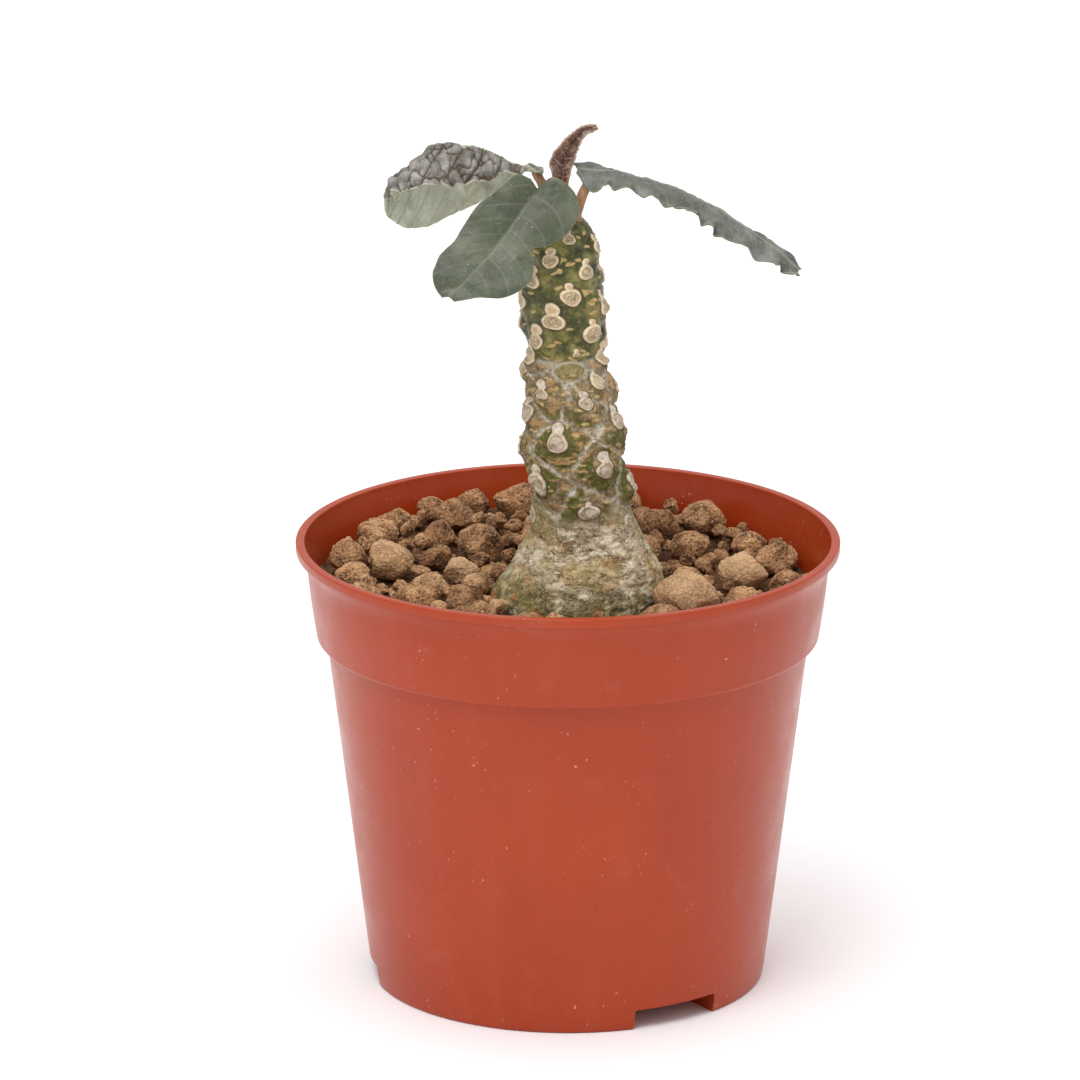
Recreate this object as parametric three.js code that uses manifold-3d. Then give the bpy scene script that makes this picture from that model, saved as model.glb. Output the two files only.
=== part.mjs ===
// A caudex succulent in a round plastic nursery pot, topped with loose brown stones.
// Millimetres, +Z up. The origin is the middle of the pot's base, and the plant's front faces -Y.
import * as THREE from "three";
import { mergeVertices } from "three/addons/utils/BufferGeometryUtils.js";
import Module from "manifold-3d";

const wasm = await Module();
wasm.setup();

// Pot: a tapered wall, a wider band above it, and a lip round the rim.
const potHeight = 87.5;
const potBaseRadius = 38.2;
const potBaseRound = 0.6;
const bandBottomRadius = 48.6;
const bandTopRadius = 50.2;
const bandDepth = 19; // from the rim down to the band's lower edge
const bandStep = 1.95; // how far the band stands out from the wall below it
const bandRound = 0.7;
const lipRadius = 52.5;
const lipHeight = 2.0;
const lipTaper = 4.0; // height over which the lip's underside runs back to the band
const lipTopWidth = 2.2;
const lipRound = 0.3;
const wallThickness = 1.2;
const potSides = 48;

// Drainage channels: notches in the foot, each with a raised roof inside and one drain hole.
const channelCount = 3;
const channelFirstAngle = -56.8; // degrees from +X
const channelWidth = 18.3;
const channelHeight = 4.1;
const channelDepth = 15; // from the base's edge towards the middle
const drainRadius = 3.5;

// Filling: packed substrate, and the loose stones on it.
const fitGap = 0.3; // clearance between pieces that touch
const bedDepth = 11; // from the rim down to the middle of the substrate's top
const bedSlopeX = -0.04; // the substrate's rise per mm towards +X
const bedSlopeY = 0.06; // and towards +Y
const stoneSeat = 0.38; // height of a stone's middle above the substrate, in its own lengths

// Plant.
const stemX = -1.6; // where the growing tip stands
const stemY = -6;
const stemHeight = 76.5; // above the substrate
const stemTipRise = 1.8; // height of the rounded tip over the stem's last section
const stemTipRadius = 4.4;
const stemSides = 20;
const rootDepth = 48.5;
const bladeThickness = 1.2;
const petioleRadius = 0.95;
const petioleSides = 8;
const petioleSteps = 5;
const bladeLengthSteps = 12;
const bladeWidthSteps = 6;

const bedLevel = potHeight - bedDepth;
const bandBottom = potHeight - bandDepth;
const wallTopRadius = bandBottomRadius - bandStep;

const looks = {
  plastic: new THREE.MeshStandardMaterial({ color: 0xb9553d, roughness: 0.42, metalness: 0 }),
  soil: new THREE.MeshStandardMaterial({ color: 0x3a2519, roughness: 1, metalness: 0 }),
  stone: new THREE.MeshStandardMaterial({ color: 0x866249, roughness: 0.95, metalness: 0 }),
  bark: new THREE.MeshStandardMaterial({ color: 0x6f6a4c, roughness: 0.75, metalness: 0 }),
  leaf: new THREE.MeshStandardMaterial({ color: 0x69705f, roughness: 0.6, metalness: 0 }),
  bud: new THREE.MeshStandardMaterial({ color: 0x84665a, roughness: 0.7, metalness: 0 }),
};

const succulent = new THREE.Group();

function addPiece(name, geometry, material) {
  const mesh = new THREE.Mesh(geometry, material);
  mesh.name = name;
  succulent.add(mesh);
}

// A closed geometry as a solid that can be joined and cut.
function solidOf(geometry) {
  const bare = geometry.clone();
  bare.deleteAttribute("normal");
  bare.deleteAttribute("uv");
  const merged = mergeVertices(bare, 1e-4);
  return new wasm.Manifold(
    new wasm.Mesh({
      numProp: 3,
      vertProperties: merged.getAttribute("position").array,
      triVerts: new Uint32Array(merged.index.array),
    }),
  );
}

function geometryOf(solid) {
  const mesh = solid.getMesh();
  const geometry = new THREE.BufferGeometry();
  geometry.setAttribute("position", new THREE.BufferAttribute(mesh.vertProperties, 3));
  geometry.setIndex(new THREE.BufferAttribute(mesh.triVerts, 1));
  return geometry;
}

// A profile of [radius, height] points turned round the Z axis.
function turned(profile, sides) {
  const points = profile.map(([radius, height]) => new THREE.Vector2(radius, height));
  return new THREE.LatheGeometry(points, sides).rotateX(Math.PI / 2);
}

function linear(table, at) {
  const last = table.length - 1;
  if (at <= table[0][0]) return table[0][1];
  if (at >= table[last][0]) return table[last][1];
  const upper = table.findIndex((row) => row[0] > at);
  const [x0, y0] = table[upper - 1];
  const [x1, y1] = table[upper];
  return y0 + ((y1 - y0) * (at - x0)) / (x1 - x0);
}

// ---- pot

// The pot's inner face as [height, radius], from the floor's top up to the rim.
const innerFace = [
  [wallThickness, potBaseRadius - wallThickness],
  [bandBottom + wallThickness, wallTopRadius - wallThickness],
  [bandBottom + wallThickness + bandRound, bandBottomRadius - wallThickness],
  [potHeight - lipTaper - lipHeight, bandTopRadius - wallThickness],
  [potHeight, lipRadius - lipTopWidth],
];

function outerPot() {
  const lipUnder = potHeight - lipHeight;
  return turned(
    [
      [0, 0],
      [potBaseRadius - potBaseRound, 0],
      [potBaseRadius, potBaseRound],
      [wallTopRadius, bandBottom],
      [bandBottomRadius - bandRound, bandBottom],
      [bandBottomRadius, bandBottom + bandRound],
      [bandTopRadius, lipUnder - lipTaper],
      [lipRadius - lipRound, lipUnder - lipRound],
      [lipRadius, lipUnder],
      [lipRadius, potHeight - lipRound],
      [lipRadius - lipRound, potHeight],
      [0, potHeight],
    ],
    potSides,
  );
}

// The space inside the pot, drawn in by gap and closed at height top.
function potCavity(gap, top) {
  const floor = wallThickness + gap;
  const side = innerFace.filter(([height]) => height > floor && height < top);
  const radiusAt = (height) => linear(innerFace, height) - gap;
  return turned(
    [
      [0, floor],
      [radiusAt(floor), floor],
      ...side.map(([height]) => [radiusAt(height), height]),
      [radiusAt(top), top],
      [0, top],
    ],
    potSides,
  );
}

// A box lying along each channel, grown by grow on its inner end, sides and roof.
function channelBoxes(grow, outerEnd, below) {
  const innerEnd = potBaseRadius - channelDepth - grow;
  const length = outerEnd - innerEnd;
  const height = channelHeight + grow + below;
  return Array.from({ length: channelCount }, (_, index) => {
    const box = new THREE.BoxGeometry(length, channelWidth + 2 * grow, height);
    box.translate(innerEnd + length / 2, 0, channelHeight + grow - height / 2);
    box.rotateZ(THREE.MathUtils.degToRad(channelFirstAngle + (360 / channelCount) * index));
    return solidOf(box);
  });
}

function drainHoles() {
  return Array.from({ length: channelCount }, (_, index) => {
    const hole = new THREE.CylinderGeometry(drainRadius, drainRadius, 3 * channelHeight, 16);
    hole.rotateX(Math.PI / 2);
    hole.translate(potBaseRadius - channelDepth / 2, 0, channelHeight);
    hole.rotateZ(THREE.MathUtils.degToRad(channelFirstAngle + (360 / channelCount) * index));
    return solidOf(hole);
  });
}

function cut(solid, tools) {
  return tools.reduce((left, tool) => left.subtract(tool), solid);
}

function pot() {
  const pastRim = [...innerFace, [potHeight + lipHeight, lipRadius - lipTopWidth]];
  const floor = [0, wallThickness];
  const roof = [0, potHeight + lipHeight];
  const hollow = turned([floor, ...pastRim.map(([height, radius]) => [radius, height]), roof], potSides);
  const cavity = cut(solidOf(hollow), channelBoxes(wallThickness, potBaseRadius + wallThickness, 0));
  const shell = solidOf(outerPot()).subtract(cavity);
  return geometryOf(cut(cut(shell, channelBoxes(0, lipRadius, channelHeight)), drainHoles()));
}

// ---- substrate

const bedNormal = new THREE.Vector3(-bedSlopeX, -bedSlopeY, 1).normalize();

function bedHeight(x, y) {
  return bedLevel + bedSlopeX * x + bedSlopeY * y;
}

function substrate() {
  const above = new THREE.BoxGeometry(4 * lipRadius, 4 * lipRadius, potHeight);
  above.translate(0, 0, potHeight / 2);
  above.applyQuaternion(new THREE.Quaternion().setFromUnitVectors(new THREE.Vector3(0, 0, 1), bedNormal));
  above.translate(0, 0, bedLevel);
  const filling = solidOf(potCavity(fitGap, potHeight));
  const channels = channelBoxes(wallThickness + fitGap, potBaseRadius + wallThickness, 0);
  return geometryOf(cut(filling, [solidOf(above), ...channels, solidOf(stem(fitGap))]));
}

// ---- plant

// The buried root's sections: [share of rootDepth, middle's X, radius].
const rootSections = [
  [1, 2.0, 1.2],
  [0.74, 2.2, 5],
  [0.37, 2.1, 13.2],
  [0.09, 2.1, 17.2],
];
// The stem's sections: [height above the substrate, middle's X, radius].
const stemSections = [
  [0, 2.2, 17.0],
  [3.5, 2.6, 16.3],
  [7.5, 3.3, 14.8],
  [10.5, 3.3, 13.2],
  [14.5, 3.3, 10.7],
  [19.5, 2.8, 9.3],
  [27.5, 1.2, 9.6],
  [34.5, 1.1, 9.8],
  [41.5, 0.5, 8.2],
  [49.5, -0.6, 7.1],
  [57.5, -0.9, 8.0],
  [65.5, -1.7, 7.4],
  [71.5, -1.8, 6.8],
  [74.7, -1.8, 6.0],
];

// Root and stem together as [height, middle's X, radius], with the stem as tall as stemHeight asks.
function plantSections() {
  const lastHeight = stemSections[stemSections.length - 1][0];
  const stretch = (stemHeight - stemTipRise) / lastHeight;
  return [
    ...rootSections.map(([share, x, radius]) => [bedLevel - share * rootDepth, x, radius]),
    ...stemSections.map(([height, x, radius]) => [bedLevel + stretch * height, x, radius]),
    [bedLevel + stemHeight, stemX, stemTipRadius],
  ];
}

// The stem as one closed solid, grown by grow all round.
function stem(grow) {
  const sections = plantSections();
  const profile = sections.map(([height, , radius]) => [radius + grow, height]);
  profile[profile.length - 1][1] += grow;
  const foot = [0, sections[0][0] - grow];
  const top = [0, bedLevel + stemHeight + grow];
  profile[0][1] -= grow;
  const geometry = turned([foot, ...profile, top], stemSides);
  const place = geometry.getAttribute("position");
  const middleX = sections.map(([height, x]) => [height, x]);
  for (let index = 0; index < place.count; index++) {
    place.setX(index, place.getX(index) + linear(middleX, place.getZ(index)));
    place.setY(index, place.getY(index) + stemY);
  }
  return geometry;
}

// Leaf points are offsets from the growing tip.
const tip = new THREE.Vector3(stemX, stemY, bedLevel + stemHeight);

function fromTip([x, y, z]) {
  return new THREE.Vector3(x, y, z).add(tip);
}

// A blade: ribs of [midrib, one edge, other edge], smoothed along its length, bulging by crown.
function blade(ribs, crown) {
  const lines = [1, 0, 2].map((side) => new THREE.CatmullRomCurve3(ribs.map((rib) => fromTip(rib[side]))));
  const rows = bladeLengthSteps;
  const columns = bladeWidthSteps;
  const grid = [];
  for (let row = 0; row <= rows; row++) {
    const [first, middle, second] = lines.map((line) => line.getPoint(row / rows));
    const up = first.clone().sub(middle).cross(lines[1].getTangent(row / rows)).normalize();
    for (let column = 0; column <= columns; column++) {
      const across = (2 * column) / columns - 1;
      const edge = across < 0 ? first : second;
      const span = Math.abs(across);
      const bulge = crown * span * (1 - span) * edge.distanceTo(middle);
      grid.push(middle.clone().lerp(edge, span).addScaledVector(up, bulge));
    }
  }
  return thickened(grid, rows, columns);
}

function thickened(grid, rows, columns) {
  const at = (row, column) => grid[row * (columns + 1) + column];
  const normals = grid.map((_, index) => {
    const row = Math.floor(index / (columns + 1));
    const column = index % (columns + 1);
    const along = at(Math.min(row + 1, rows), column).clone().sub(at(Math.max(row - 1, 0), column));
    const across = at(row, Math.min(column + 1, columns)).clone().sub(at(row, Math.max(column - 1, 0)));
    return along.cross(across).normalize();
  });
  const half = bladeThickness / 2;
  const upper = grid.map((point, index) => point.clone().addScaledVector(normals[index], half));
  const lower = grid.map((point, index) => point.clone().addScaledVector(normals[index], -half));
  const faces = [];
  const quad = (a, b, c, d) => faces.push(a, b, c, a, c, d);
  const count = grid.length;
  const spot = (row, column) => row * (columns + 1) + column;
  for (let row = 0; row < rows; row++) {
    for (let column = 0; column < columns; column++) {
      const corners = [spot(row, column), spot(row + 1, column), spot(row + 1, column + 1), spot(row, column + 1)];
      quad(...corners);
      quad(...corners.reverse().map((corner) => corner + count));
    }
    quad(spot(row, 0), spot(row, 0) + count, spot(row + 1, 0) + count, spot(row + 1, 0));
    quad(spot(row + 1, columns), spot(row + 1, columns) + count, spot(row, columns) + count, spot(row, columns));
  }
  for (let column = 0; column < columns; column++) {
    quad(spot(0, column + 1), spot(0, column + 1) + count, spot(0, column) + count, spot(0, column));
    quad(spot(rows, column), spot(rows, column) + count, spot(rows, column + 1) + count, spot(rows, column + 1));
  }
  const geometry = new THREE.BufferGeometry().setFromPoints([...upper, ...lower]);
  geometry.setIndex(faces);
  return geometry;
}

function petiole(points) {
  const route = new THREE.CatmullRomCurve3(points.map(fromTip));
  const section = new THREE.Shape().absarc(0, 0, petioleRadius, 0, 2 * Math.PI);
  return new THREE.ExtrudeGeometry(section, {
    steps: petioleSteps,
    curveSegments: petioleSides,
    extrudePath: route,
    bevelEnabled: false,
  });
}

// Each leaf's petiole rises from just inside the growing tip, where the stem's clearance trims it,
// and its blade's ribs start where the petiole ends.
const leaves = {
  leaf_front: {
    crown: 0.25,
    petiole: [[-1.3, -2.9, -petioleRadius], [-2.4, -4.4, 3.6], [-3.6, -5.4, 6.0]],
    ribs: [
      [[-2.7, -4.6, 6.4], [-2.9, -4.2, 9.4], [3.2, -5.0, 7.6]],
      [[-4.6, -6.0, 5.4], [-7.4, -5.6, 9.8], [3.6, -7.6, 2.6]],
      [[-7.6, -8.4, 2.8], [-12.2, -8.2, 7.4], [-0.6, -11.4, -2.0]],
      [[-11.8, -12.0, -1.2], [-17.2, -11.8, 3.4], [-4.4, -16.4, -5.8]],
      [[-15.5, -15.0, -4.6], [-20.9, -14.2, -0.2], [-8.8, -18.6, -10.4]],
      [[-19.2, -17.6, -7.9], [-23.6, -16.2, -4.8], [-16.4, -19.6, -11.2]],
      [[-22.2, -19.0, -10.4], [-23.8, -18.4, -8.6], [-20.8, -19.6, -11.6]],
    ],
  },
  leaf_left: {
    crown: 0.3,
    petiole: [[-2.6, 1.1, -petioleRadius], [-2.8, 1.4, 4.6], [-5.2, 2.6, 8.5]],
    ribs: [
      [[-4.4, 2.2, 8.6], [-4.6, 0.8, 8.8], [-5.0, 3.8, 8.2]],
      [[-9.4, 5.0, 9.8], [-9.9, 1.6, 8.0], [-9.9, 9.2, 4.2]],
      [[-14.9, 6.8, 11.2], [-14.4, -0.2, 6.8], [-14.2, 12.0, 0.2]],
      [[-19.9, 7.5, 11.8], [-19.9, -1.0, 6.0], [-20.4, 13.0, -3.0]],
      [[-25.4, 7.5, 10.0], [-24.9, -0.5, 5.2], [-27.4, 12.0, -5.4]],
      [[-29.6, 7.0, 7.6], [-29.9, 1.5, 4.0], [-31.6, 10.6, -3.6]],
      [[-32.8, 6.4, 3.2], [-33.4, 4.6, 1.6], [-33.2, 7.8, -0.6]],
    ],
  },
  leaf_right: {
    crown: 0.2,
    petiole: [[2.8, -0.8, -petioleRadius], [3.9, -0.6, 3.6], [6.8, -0.1, 8.3]],
    ribs: [
      [[5.8, 0.0, 8.6], [6.3, -2.0, 7.8], [5.3, 2.0, 9.2]],
      [[11.1, 0.0, 8.7], [9.8, -4.0, 7.4], [11.4, 4.2, 7.0]],
      [[17.1, -0.2, 7.1], [16.1, -5.2, 5.9], [18.1, 4.8, 4.8]],
      [[26.1, -0.6, 3.9], [24.5, -6.0, 2.5], [27.1, 4.8, 1.4]],
      [[34.6, -1.0, -1.4], [32.6, -6.2, -2.8], [35.4, 4.2, -3.6]],
      [[41.2, -1.4, -6.2], [39.8, -5.2, -7.7], [42.6, 2.6, -7.0]],
      [[45.4, -1.6, -9.9], [44.6, -3.0, -10.9], [46.2, -0.2, -10.0]],
    ],
  },
  leaf_young: {
    crown: 0.3,
    petiole: [[0.2, 1.4, -petioleRadius], [0.2, 1.2, 2.2], [0.3, 0.9, 4.6]],
    ribs: [
      [[0.2, 0.8, 3.6], [-0.8, 0.1, 3.8], [0.9, -0.1, 3.8]],
      [[0.2, 1.4, 7.8], [-1.5, -0.4, 8.4], [1.6, -0.3, 7.8]],
      [[0.7, 1.6, 11.0], [-1.9, -0.6, 11.6], [2.6, -0.4, 11.0]],
      [[2.2, 1.4, 14.2], [0.4, -0.4, 14.9], [3.6, -0.2, 13.8]],
      [[4.2, 0.8, 16.8], [3.2, -0.2, 17.5], [4.9, 0.0, 16.2]],
      [[7.0, 0.2, 17.9], [6.6, -0.1, 18.4], [7.3, -0.1, 17.3]],
    ],
  },
};

function leaf({ crown, petiole: route, ribs }) {
  const whole = solidOf(blade(ribs, crown)).add(solidOf(petiole(route)));
  return geometryOf(whole.subtract(solidOf(stem(fitGap))));
}

// ---- stones

// The larger stones, each [angle about the stem, place between stem and wall from 0 to 1, length].
const largeStones = [
  [137, 0.91, 8], [124, 0.94, 7], [147, 0.84, 9], [157, 0.94, 6.5], [166, 0.86, 9],
  [178, 0.83, 8], [165, 0.61, 10], [200, 0.55, 10], [137, 0.57, 8], [123, 0.76, 9],
  [114, 0.93, 8], [105, 0.8, 10], [131, 0.33, 9.5], [151, 0.42, 7], [161, 0.2, 7.5],
  [178, 0.08, 7], [202, 0.22, 8], [180, 0.36, 7], [80, 0.92, 8], [67, 0.66, 9],
  [59, 0.9, 9.5], [50, 0.5, 8.5], [40, 0.8, 8], [27, 0.85, 9.5], [17, 0.54, 11],
  [7, 0.82, 8.5], [331, 0.24, 15], [20, 0.17, 8], [352, 0.52, 8], [310, 0.27, 9.5],
  [103, 0.42, 9], [85, 0.6, 9], [62, 0.25, 8.5], [93, 0.2, 8],
];
// Rows that ring the near side: [first angle, last angle, number, place, length].
const stoneRows = [
  [196, 350, 8, 0.86, 9.5],
  [222, 292, 4, 0.36, 9],
];

// A repeatable number from 0 to 1 for each stone and use.
function chance(stoneIndex, use) {
  const wave = Math.sin(stoneIndex * 12.9898 + use * 78.233) * 43758.5453;
  return wave - Math.floor(wave);
}

function stonePlaces() {
  const rows = stoneRows.flatMap(([from, to, count, share, length]) =>
    Array.from({ length: count }, (_, index) => [from + ((to - from) * index) / (count - 1), share, length]),
  );
  return [...largeStones, ...rows];
}

// The wall's inner radius beside the lowest stone, where the tilted substrate is deepest in the narrowing pot.
const bedLowest = bedLevel - Math.hypot(bedSlopeX, bedSlopeY) * linear(innerFace, bedLevel);
const stoneWall = linear(innerFace, bedLowest) * Math.cos(Math.PI / potSides) - fitGap;
const stemFootX = stemSections[0][1];
const stemFootRadius = Math.max(...plantSections().map((section) => section[2]));

// A stone's middle: along its angle from the stem's foot, between the stem and the pot's wall.
function stoneMiddle([angle, share, length]) {
  const turn = THREE.MathUtils.degToRad(angle);
  const away = new THREE.Vector2(Math.cos(turn), Math.sin(turn));
  const foot = new THREE.Vector2(stemFootX, stemY);
  const along = foot.dot(away);
  const toWall = Math.sqrt(along * along + stoneWall * stoneWall - foot.lengthSq()) - along;
  const place = foot.addScaledVector(away, stemFootRadius + (toWall - stemFootRadius) * share);
  return new THREE.Vector3(place.x, place.y, bedHeight(place.x, place.y) + stoneSeat * length);
}

// One stone: a rough ball, flattened, turned, and kept inside the given [normal, distance] planes.
function stone(index, middle, length, planes) {
  const geometry = new THREE.IcosahedronGeometry(1, 1);
  const half = length / 2;
  const squeeze = new THREE.Vector3(half, half * (0.8 + 0.15 * chance(index, 1)), half * (0.66 + 0.2 * chance(index, 2)));
  const tilt = new THREE.Euler(chance(index, 3) - 0.5, chance(index, 4) - 0.5, 2 * Math.PI * chance(index, 5));
  const place = geometry.getAttribute("position");
  for (let corner = 0; corner < place.count; corner++) {
    const out = new THREE.Vector3().fromBufferAttribute(place, corner).multiply(squeeze).applyEuler(tilt);
    const reach = out.length();
    const away = out.clone().divideScalar(reach);
    const room = planes.map(([normal, distance]) => {
      const slope = normal.dot(away);
      return slope > 1e-6 ? distance / slope : Infinity;
    });
    const kept = away.multiplyScalar(Math.min(reach, wallRoom(middle, away), ...room)).add(middle);
    place.setXYZ(corner, kept.x, kept.y, kept.z);
  }
  return geometry;
}

// How far a stone may reach from its middle before it meets the pot's wall, which widens above it.
function wallRoom(middle, away) {
  const flat = away.x * away.x + away.y * away.y;
  if (flat < 1e-9) return Infinity;
  const along = middle.x * away.x + middle.y * away.y;
  const short = middle.x * middle.x + middle.y * middle.y - stoneWall * stoneWall;
  return (Math.sqrt(along * along - flat * short) - along) / flat;
}

// The planes that keep a stone off its neighbours, the stem and the substrate.
function stonePlanes(index, places, middles) {
  const middle = middles[index];
  const bedDistance = (middle.z - bedHeight(middle.x, middle.y)) * bedNormal.z;
  const planes = [[bedNormal.clone().negate(), bedDistance - fitGap]];
  const toStem = new THREE.Vector3(stemFootX - middle.x, stemY - middle.y, 0);
  const stemAway = toStem.length();
  planes.push([toStem.divideScalar(stemAway), stemAway - stemFootRadius - fitGap]);
  middles.forEach((other, otherIndex) => {
    if (otherIndex === index) return;
    const apart = other.clone().sub(middle);
    const distance = apart.length();
    const share = places[index][2] / (places[index][2] + places[otherIndex][2]);
    planes.push([apart.divideScalar(distance), distance * share - fitGap / 2]);
  });
  return planes;
}

// ---- the whole

addPiece("pot", pot(), looks.plastic);

addPiece("substrate", substrate(), looks.soil);
addPiece("stem", stem(0), looks.bark);

for (const [name, shape] of Object.entries(leaves)) {
  addPiece(name, leaf(shape), name === "leaf_young" ? looks.bud : looks.leaf);
}

const places = stonePlaces();
const middles = places.map(stoneMiddle);
places.forEach((place, index) => {
  const name = "stone_" + String(index + 1).padStart(2, "0");
  addPiece(name, stone(index, middles[index], place[2], stonePlanes(index, places, middles)), looks.stone);
});

export default succulent;
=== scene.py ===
import math
import bmesh
import bpy
import numpy as np
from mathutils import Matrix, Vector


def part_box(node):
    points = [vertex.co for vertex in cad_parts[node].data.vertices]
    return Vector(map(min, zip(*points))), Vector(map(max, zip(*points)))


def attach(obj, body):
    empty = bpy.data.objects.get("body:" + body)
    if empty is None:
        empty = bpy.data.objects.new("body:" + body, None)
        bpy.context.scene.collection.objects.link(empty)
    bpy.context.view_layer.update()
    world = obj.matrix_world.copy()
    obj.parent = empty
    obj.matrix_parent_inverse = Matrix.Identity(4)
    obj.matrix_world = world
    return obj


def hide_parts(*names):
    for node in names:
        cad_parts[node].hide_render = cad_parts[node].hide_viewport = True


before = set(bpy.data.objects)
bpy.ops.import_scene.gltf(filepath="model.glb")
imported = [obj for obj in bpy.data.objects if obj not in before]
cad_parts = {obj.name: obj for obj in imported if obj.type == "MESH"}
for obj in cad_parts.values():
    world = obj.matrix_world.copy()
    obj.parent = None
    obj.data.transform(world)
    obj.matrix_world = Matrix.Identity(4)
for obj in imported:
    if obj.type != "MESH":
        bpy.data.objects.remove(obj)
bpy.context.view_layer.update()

mm = 0.001
print("frame loaded:", len(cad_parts), "nodes")


def nodePoints(name):                     # a frame node's corners, in mm
    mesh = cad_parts[name].data
    flat = np.empty(len(mesh.vertices) * 3)
    mesh.vertices.foreach_get("co", flat)
    return flat.reshape(-1, 3) / mm


def nodeBox(name):                        # a frame node's lowest and highest corners, in mm
    low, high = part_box(name)
    return np.array(low) / mm, np.array(high) / mm


# numbers shared by several pieces, all read from the frame
stemHigh = nodeBox("stem")[1]
potHigh = nodeBox("pot")[1]
potTop = potHigh[2]
rimRadius = potHigh[0]
tipRing = nodePoints("stem")
tipRing = tipRing[tipRing[:, 2] > stemHigh[2] - 0.1]
growingTip = np.array([tipRing[:, 0].mean(), tipRing[:, 1].mean(), stemHigh[2]])


def bedPlane():                           # the substrate's sloping top, as height = a + b x + c y
    fromWall, fromTop, sector = 1.5, 25, 5             # which corners are its rim: mm, mm, degrees
    corners = nodePoints("substrate")
    radius = np.hypot(corners[:, 0], corners[:, 1])
    top = corners[(radius > radius.max() - fromWall) & (corners[:, 2] > potTop - fromTop)]
    angles = np.round(np.degrees(np.arctan2(top[:, 1], top[:, 0])) / sector)
    rim = np.array([top[angles == step][top[angles == step][:, 2].argmax()] for step in np.unique(angles)])
    rows = np.column_stack([np.ones(len(rim)), rim[:, 0], rim[:, 1]])
    return np.linalg.lstsq(rows, rim[:, 2], rcond=None)[0]


bed = bedPlane()


def bedHeight(x, y):
    return bed[0] + bed[1] * x + bed[2] * y


def mixedHash(cells, seed):               # one repeatable number from 0 to 1 for each row of whole numbers
    mixed = cells[..., 0] * 73856093 ^ cells[..., 1] * 19349663 ^ seed * 83492791
    if cells.shape[-1] > 2:
        mixed = mixed ^ cells[..., 2] * 49979687
    mixed = mixed & 0xFFFFFFFF
    for turn in range(3):
        mixed = ((mixed ^ (mixed >> 15)) * 0x2C1B3C6D) & 0xFFFFFFFF
        mixed = ((mixed ^ (mixed >> 12)) * 0x297A2D39) & 0xFFFFFFFF
    return (mixed ^ (mixed >> 15)) / 0xFFFFFFFF


def softNoise(points, size, seed=0):      # smooth, from -1 to 1, with lumps of about that size
    cell = np.asarray(points) / size
    base = np.floor(cell).astype(np.int64)
    part = cell - base
    part = part * part * (3 - 2 * part)
    total = np.zeros(cell.shape[:-1])
    axes = cell.shape[-1]
    for corner in range(2 ** axes):
        step = np.array([(corner >> axis) & 1 for axis in range(axes)])
        weight = np.prod(np.where(step == 1, part, 1 - part), axis=-1)
        total += (mixedHash(base + step, seed) * 2 - 1) * weight
    return total


def layeredNoise(points, size, layers, seed=0):
    total = 0.0
    for layer in range(layers):
        total = total + softNoise(points, size / 2 ** layer, seed + 17 * layer) / 2 ** layer
    return total


def cellNoise(points, size, seed=0, jitter=0.9):      # distances to the nearest and second nearest seeds
    cell = np.asarray(points) / size
    base = np.floor(cell).astype(np.int64)
    axes = cell.shape[-1]
    first = np.full(cell.shape[:-1], 9.0)
    second = first.copy()
    for index in range(3 ** axes):
        step = np.array([(index // 3 ** axis) % 3 - 1 for axis in range(axes)])
        spot = base + step
        offset = np.stack([mixedHash(spot, seed + 101 * (axis + 1)) for axis in range(axes)], axis=-1)
        centre = spot + 0.5 + (offset - 0.5) * jitter
        distance = np.linalg.norm(cell - centre, axis=-1)
        second = np.minimum(second, np.maximum(first, distance))
        first = np.minimum(first, distance)
    return first * size, second * size


def ease(low, high, value):               # 0 below low, 1 above high, smooth between
    part = np.clip((value - low) / (high - low), 0, 1)
    return part * part * (3 - 2 * part)


def makePiece(name, points, faces, materials, replaced=(), faceSlots=None, marks=None):
    mesh = bpy.data.meshes.new(name)
    mesh.from_pydata((np.asarray(points) * mm).tolist(), [], [list(map(int, face)) for face in faces])
    for key, values in (marks or {}).items():
        layer = mesh.attributes.new(key, "FLOAT", "POINT")
        layer.data.foreach_set("value", np.asarray(values, dtype=np.float32).ravel())
    for material in materials:
        mesh.materials.append(material)
    if faceSlots is not None:
        mesh.polygons.foreach_set("material_index", np.asarray(faceSlots, dtype=np.int32))
    mesh.polygons.foreach_set("use_smooth", np.full(len(mesh.polygons), True))
    mesh.update()
    piece = bpy.data.objects.new(name, mesh)
    bpy.context.scene.collection.objects.link(piece)
    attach(piece, "root")
    if replaced:
        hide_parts(*replaced)
    return piece


def ringFaces(rows, columns):             # quads of a tube whose rows are closed rings
    row, column = np.meshgrid(np.arange(rows - 1), np.arange(columns), indexing="ij")
    a = row * columns + column
    b = row * columns + (column + 1) % columns
    return np.stack([a, b, b + columns, a + columns], axis=-1).reshape(-1, 4)


def closedTube(rows, columns):            # the tube's quads, and fans round two end points added last
    faces = ringFaces(rows, columns).tolist()
    count, last = rows * columns, (rows - 1) * columns
    for side in range(columns):
        follow = (side + 1) % columns
        faces.append([count, follow, side])
        faces.append([count + 1, last + side, last + follow])
    return faces


def sheetFaces(rows, columns):            # quads of an open grid
    row, column = np.meshgrid(np.arange(rows - 1), np.arange(columns - 1), indexing="ij")
    a = row * columns + column
    return np.stack([a, a + columns, a + columns + 1, a + 1], axis=-1).reshape(-1, 4)


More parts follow.
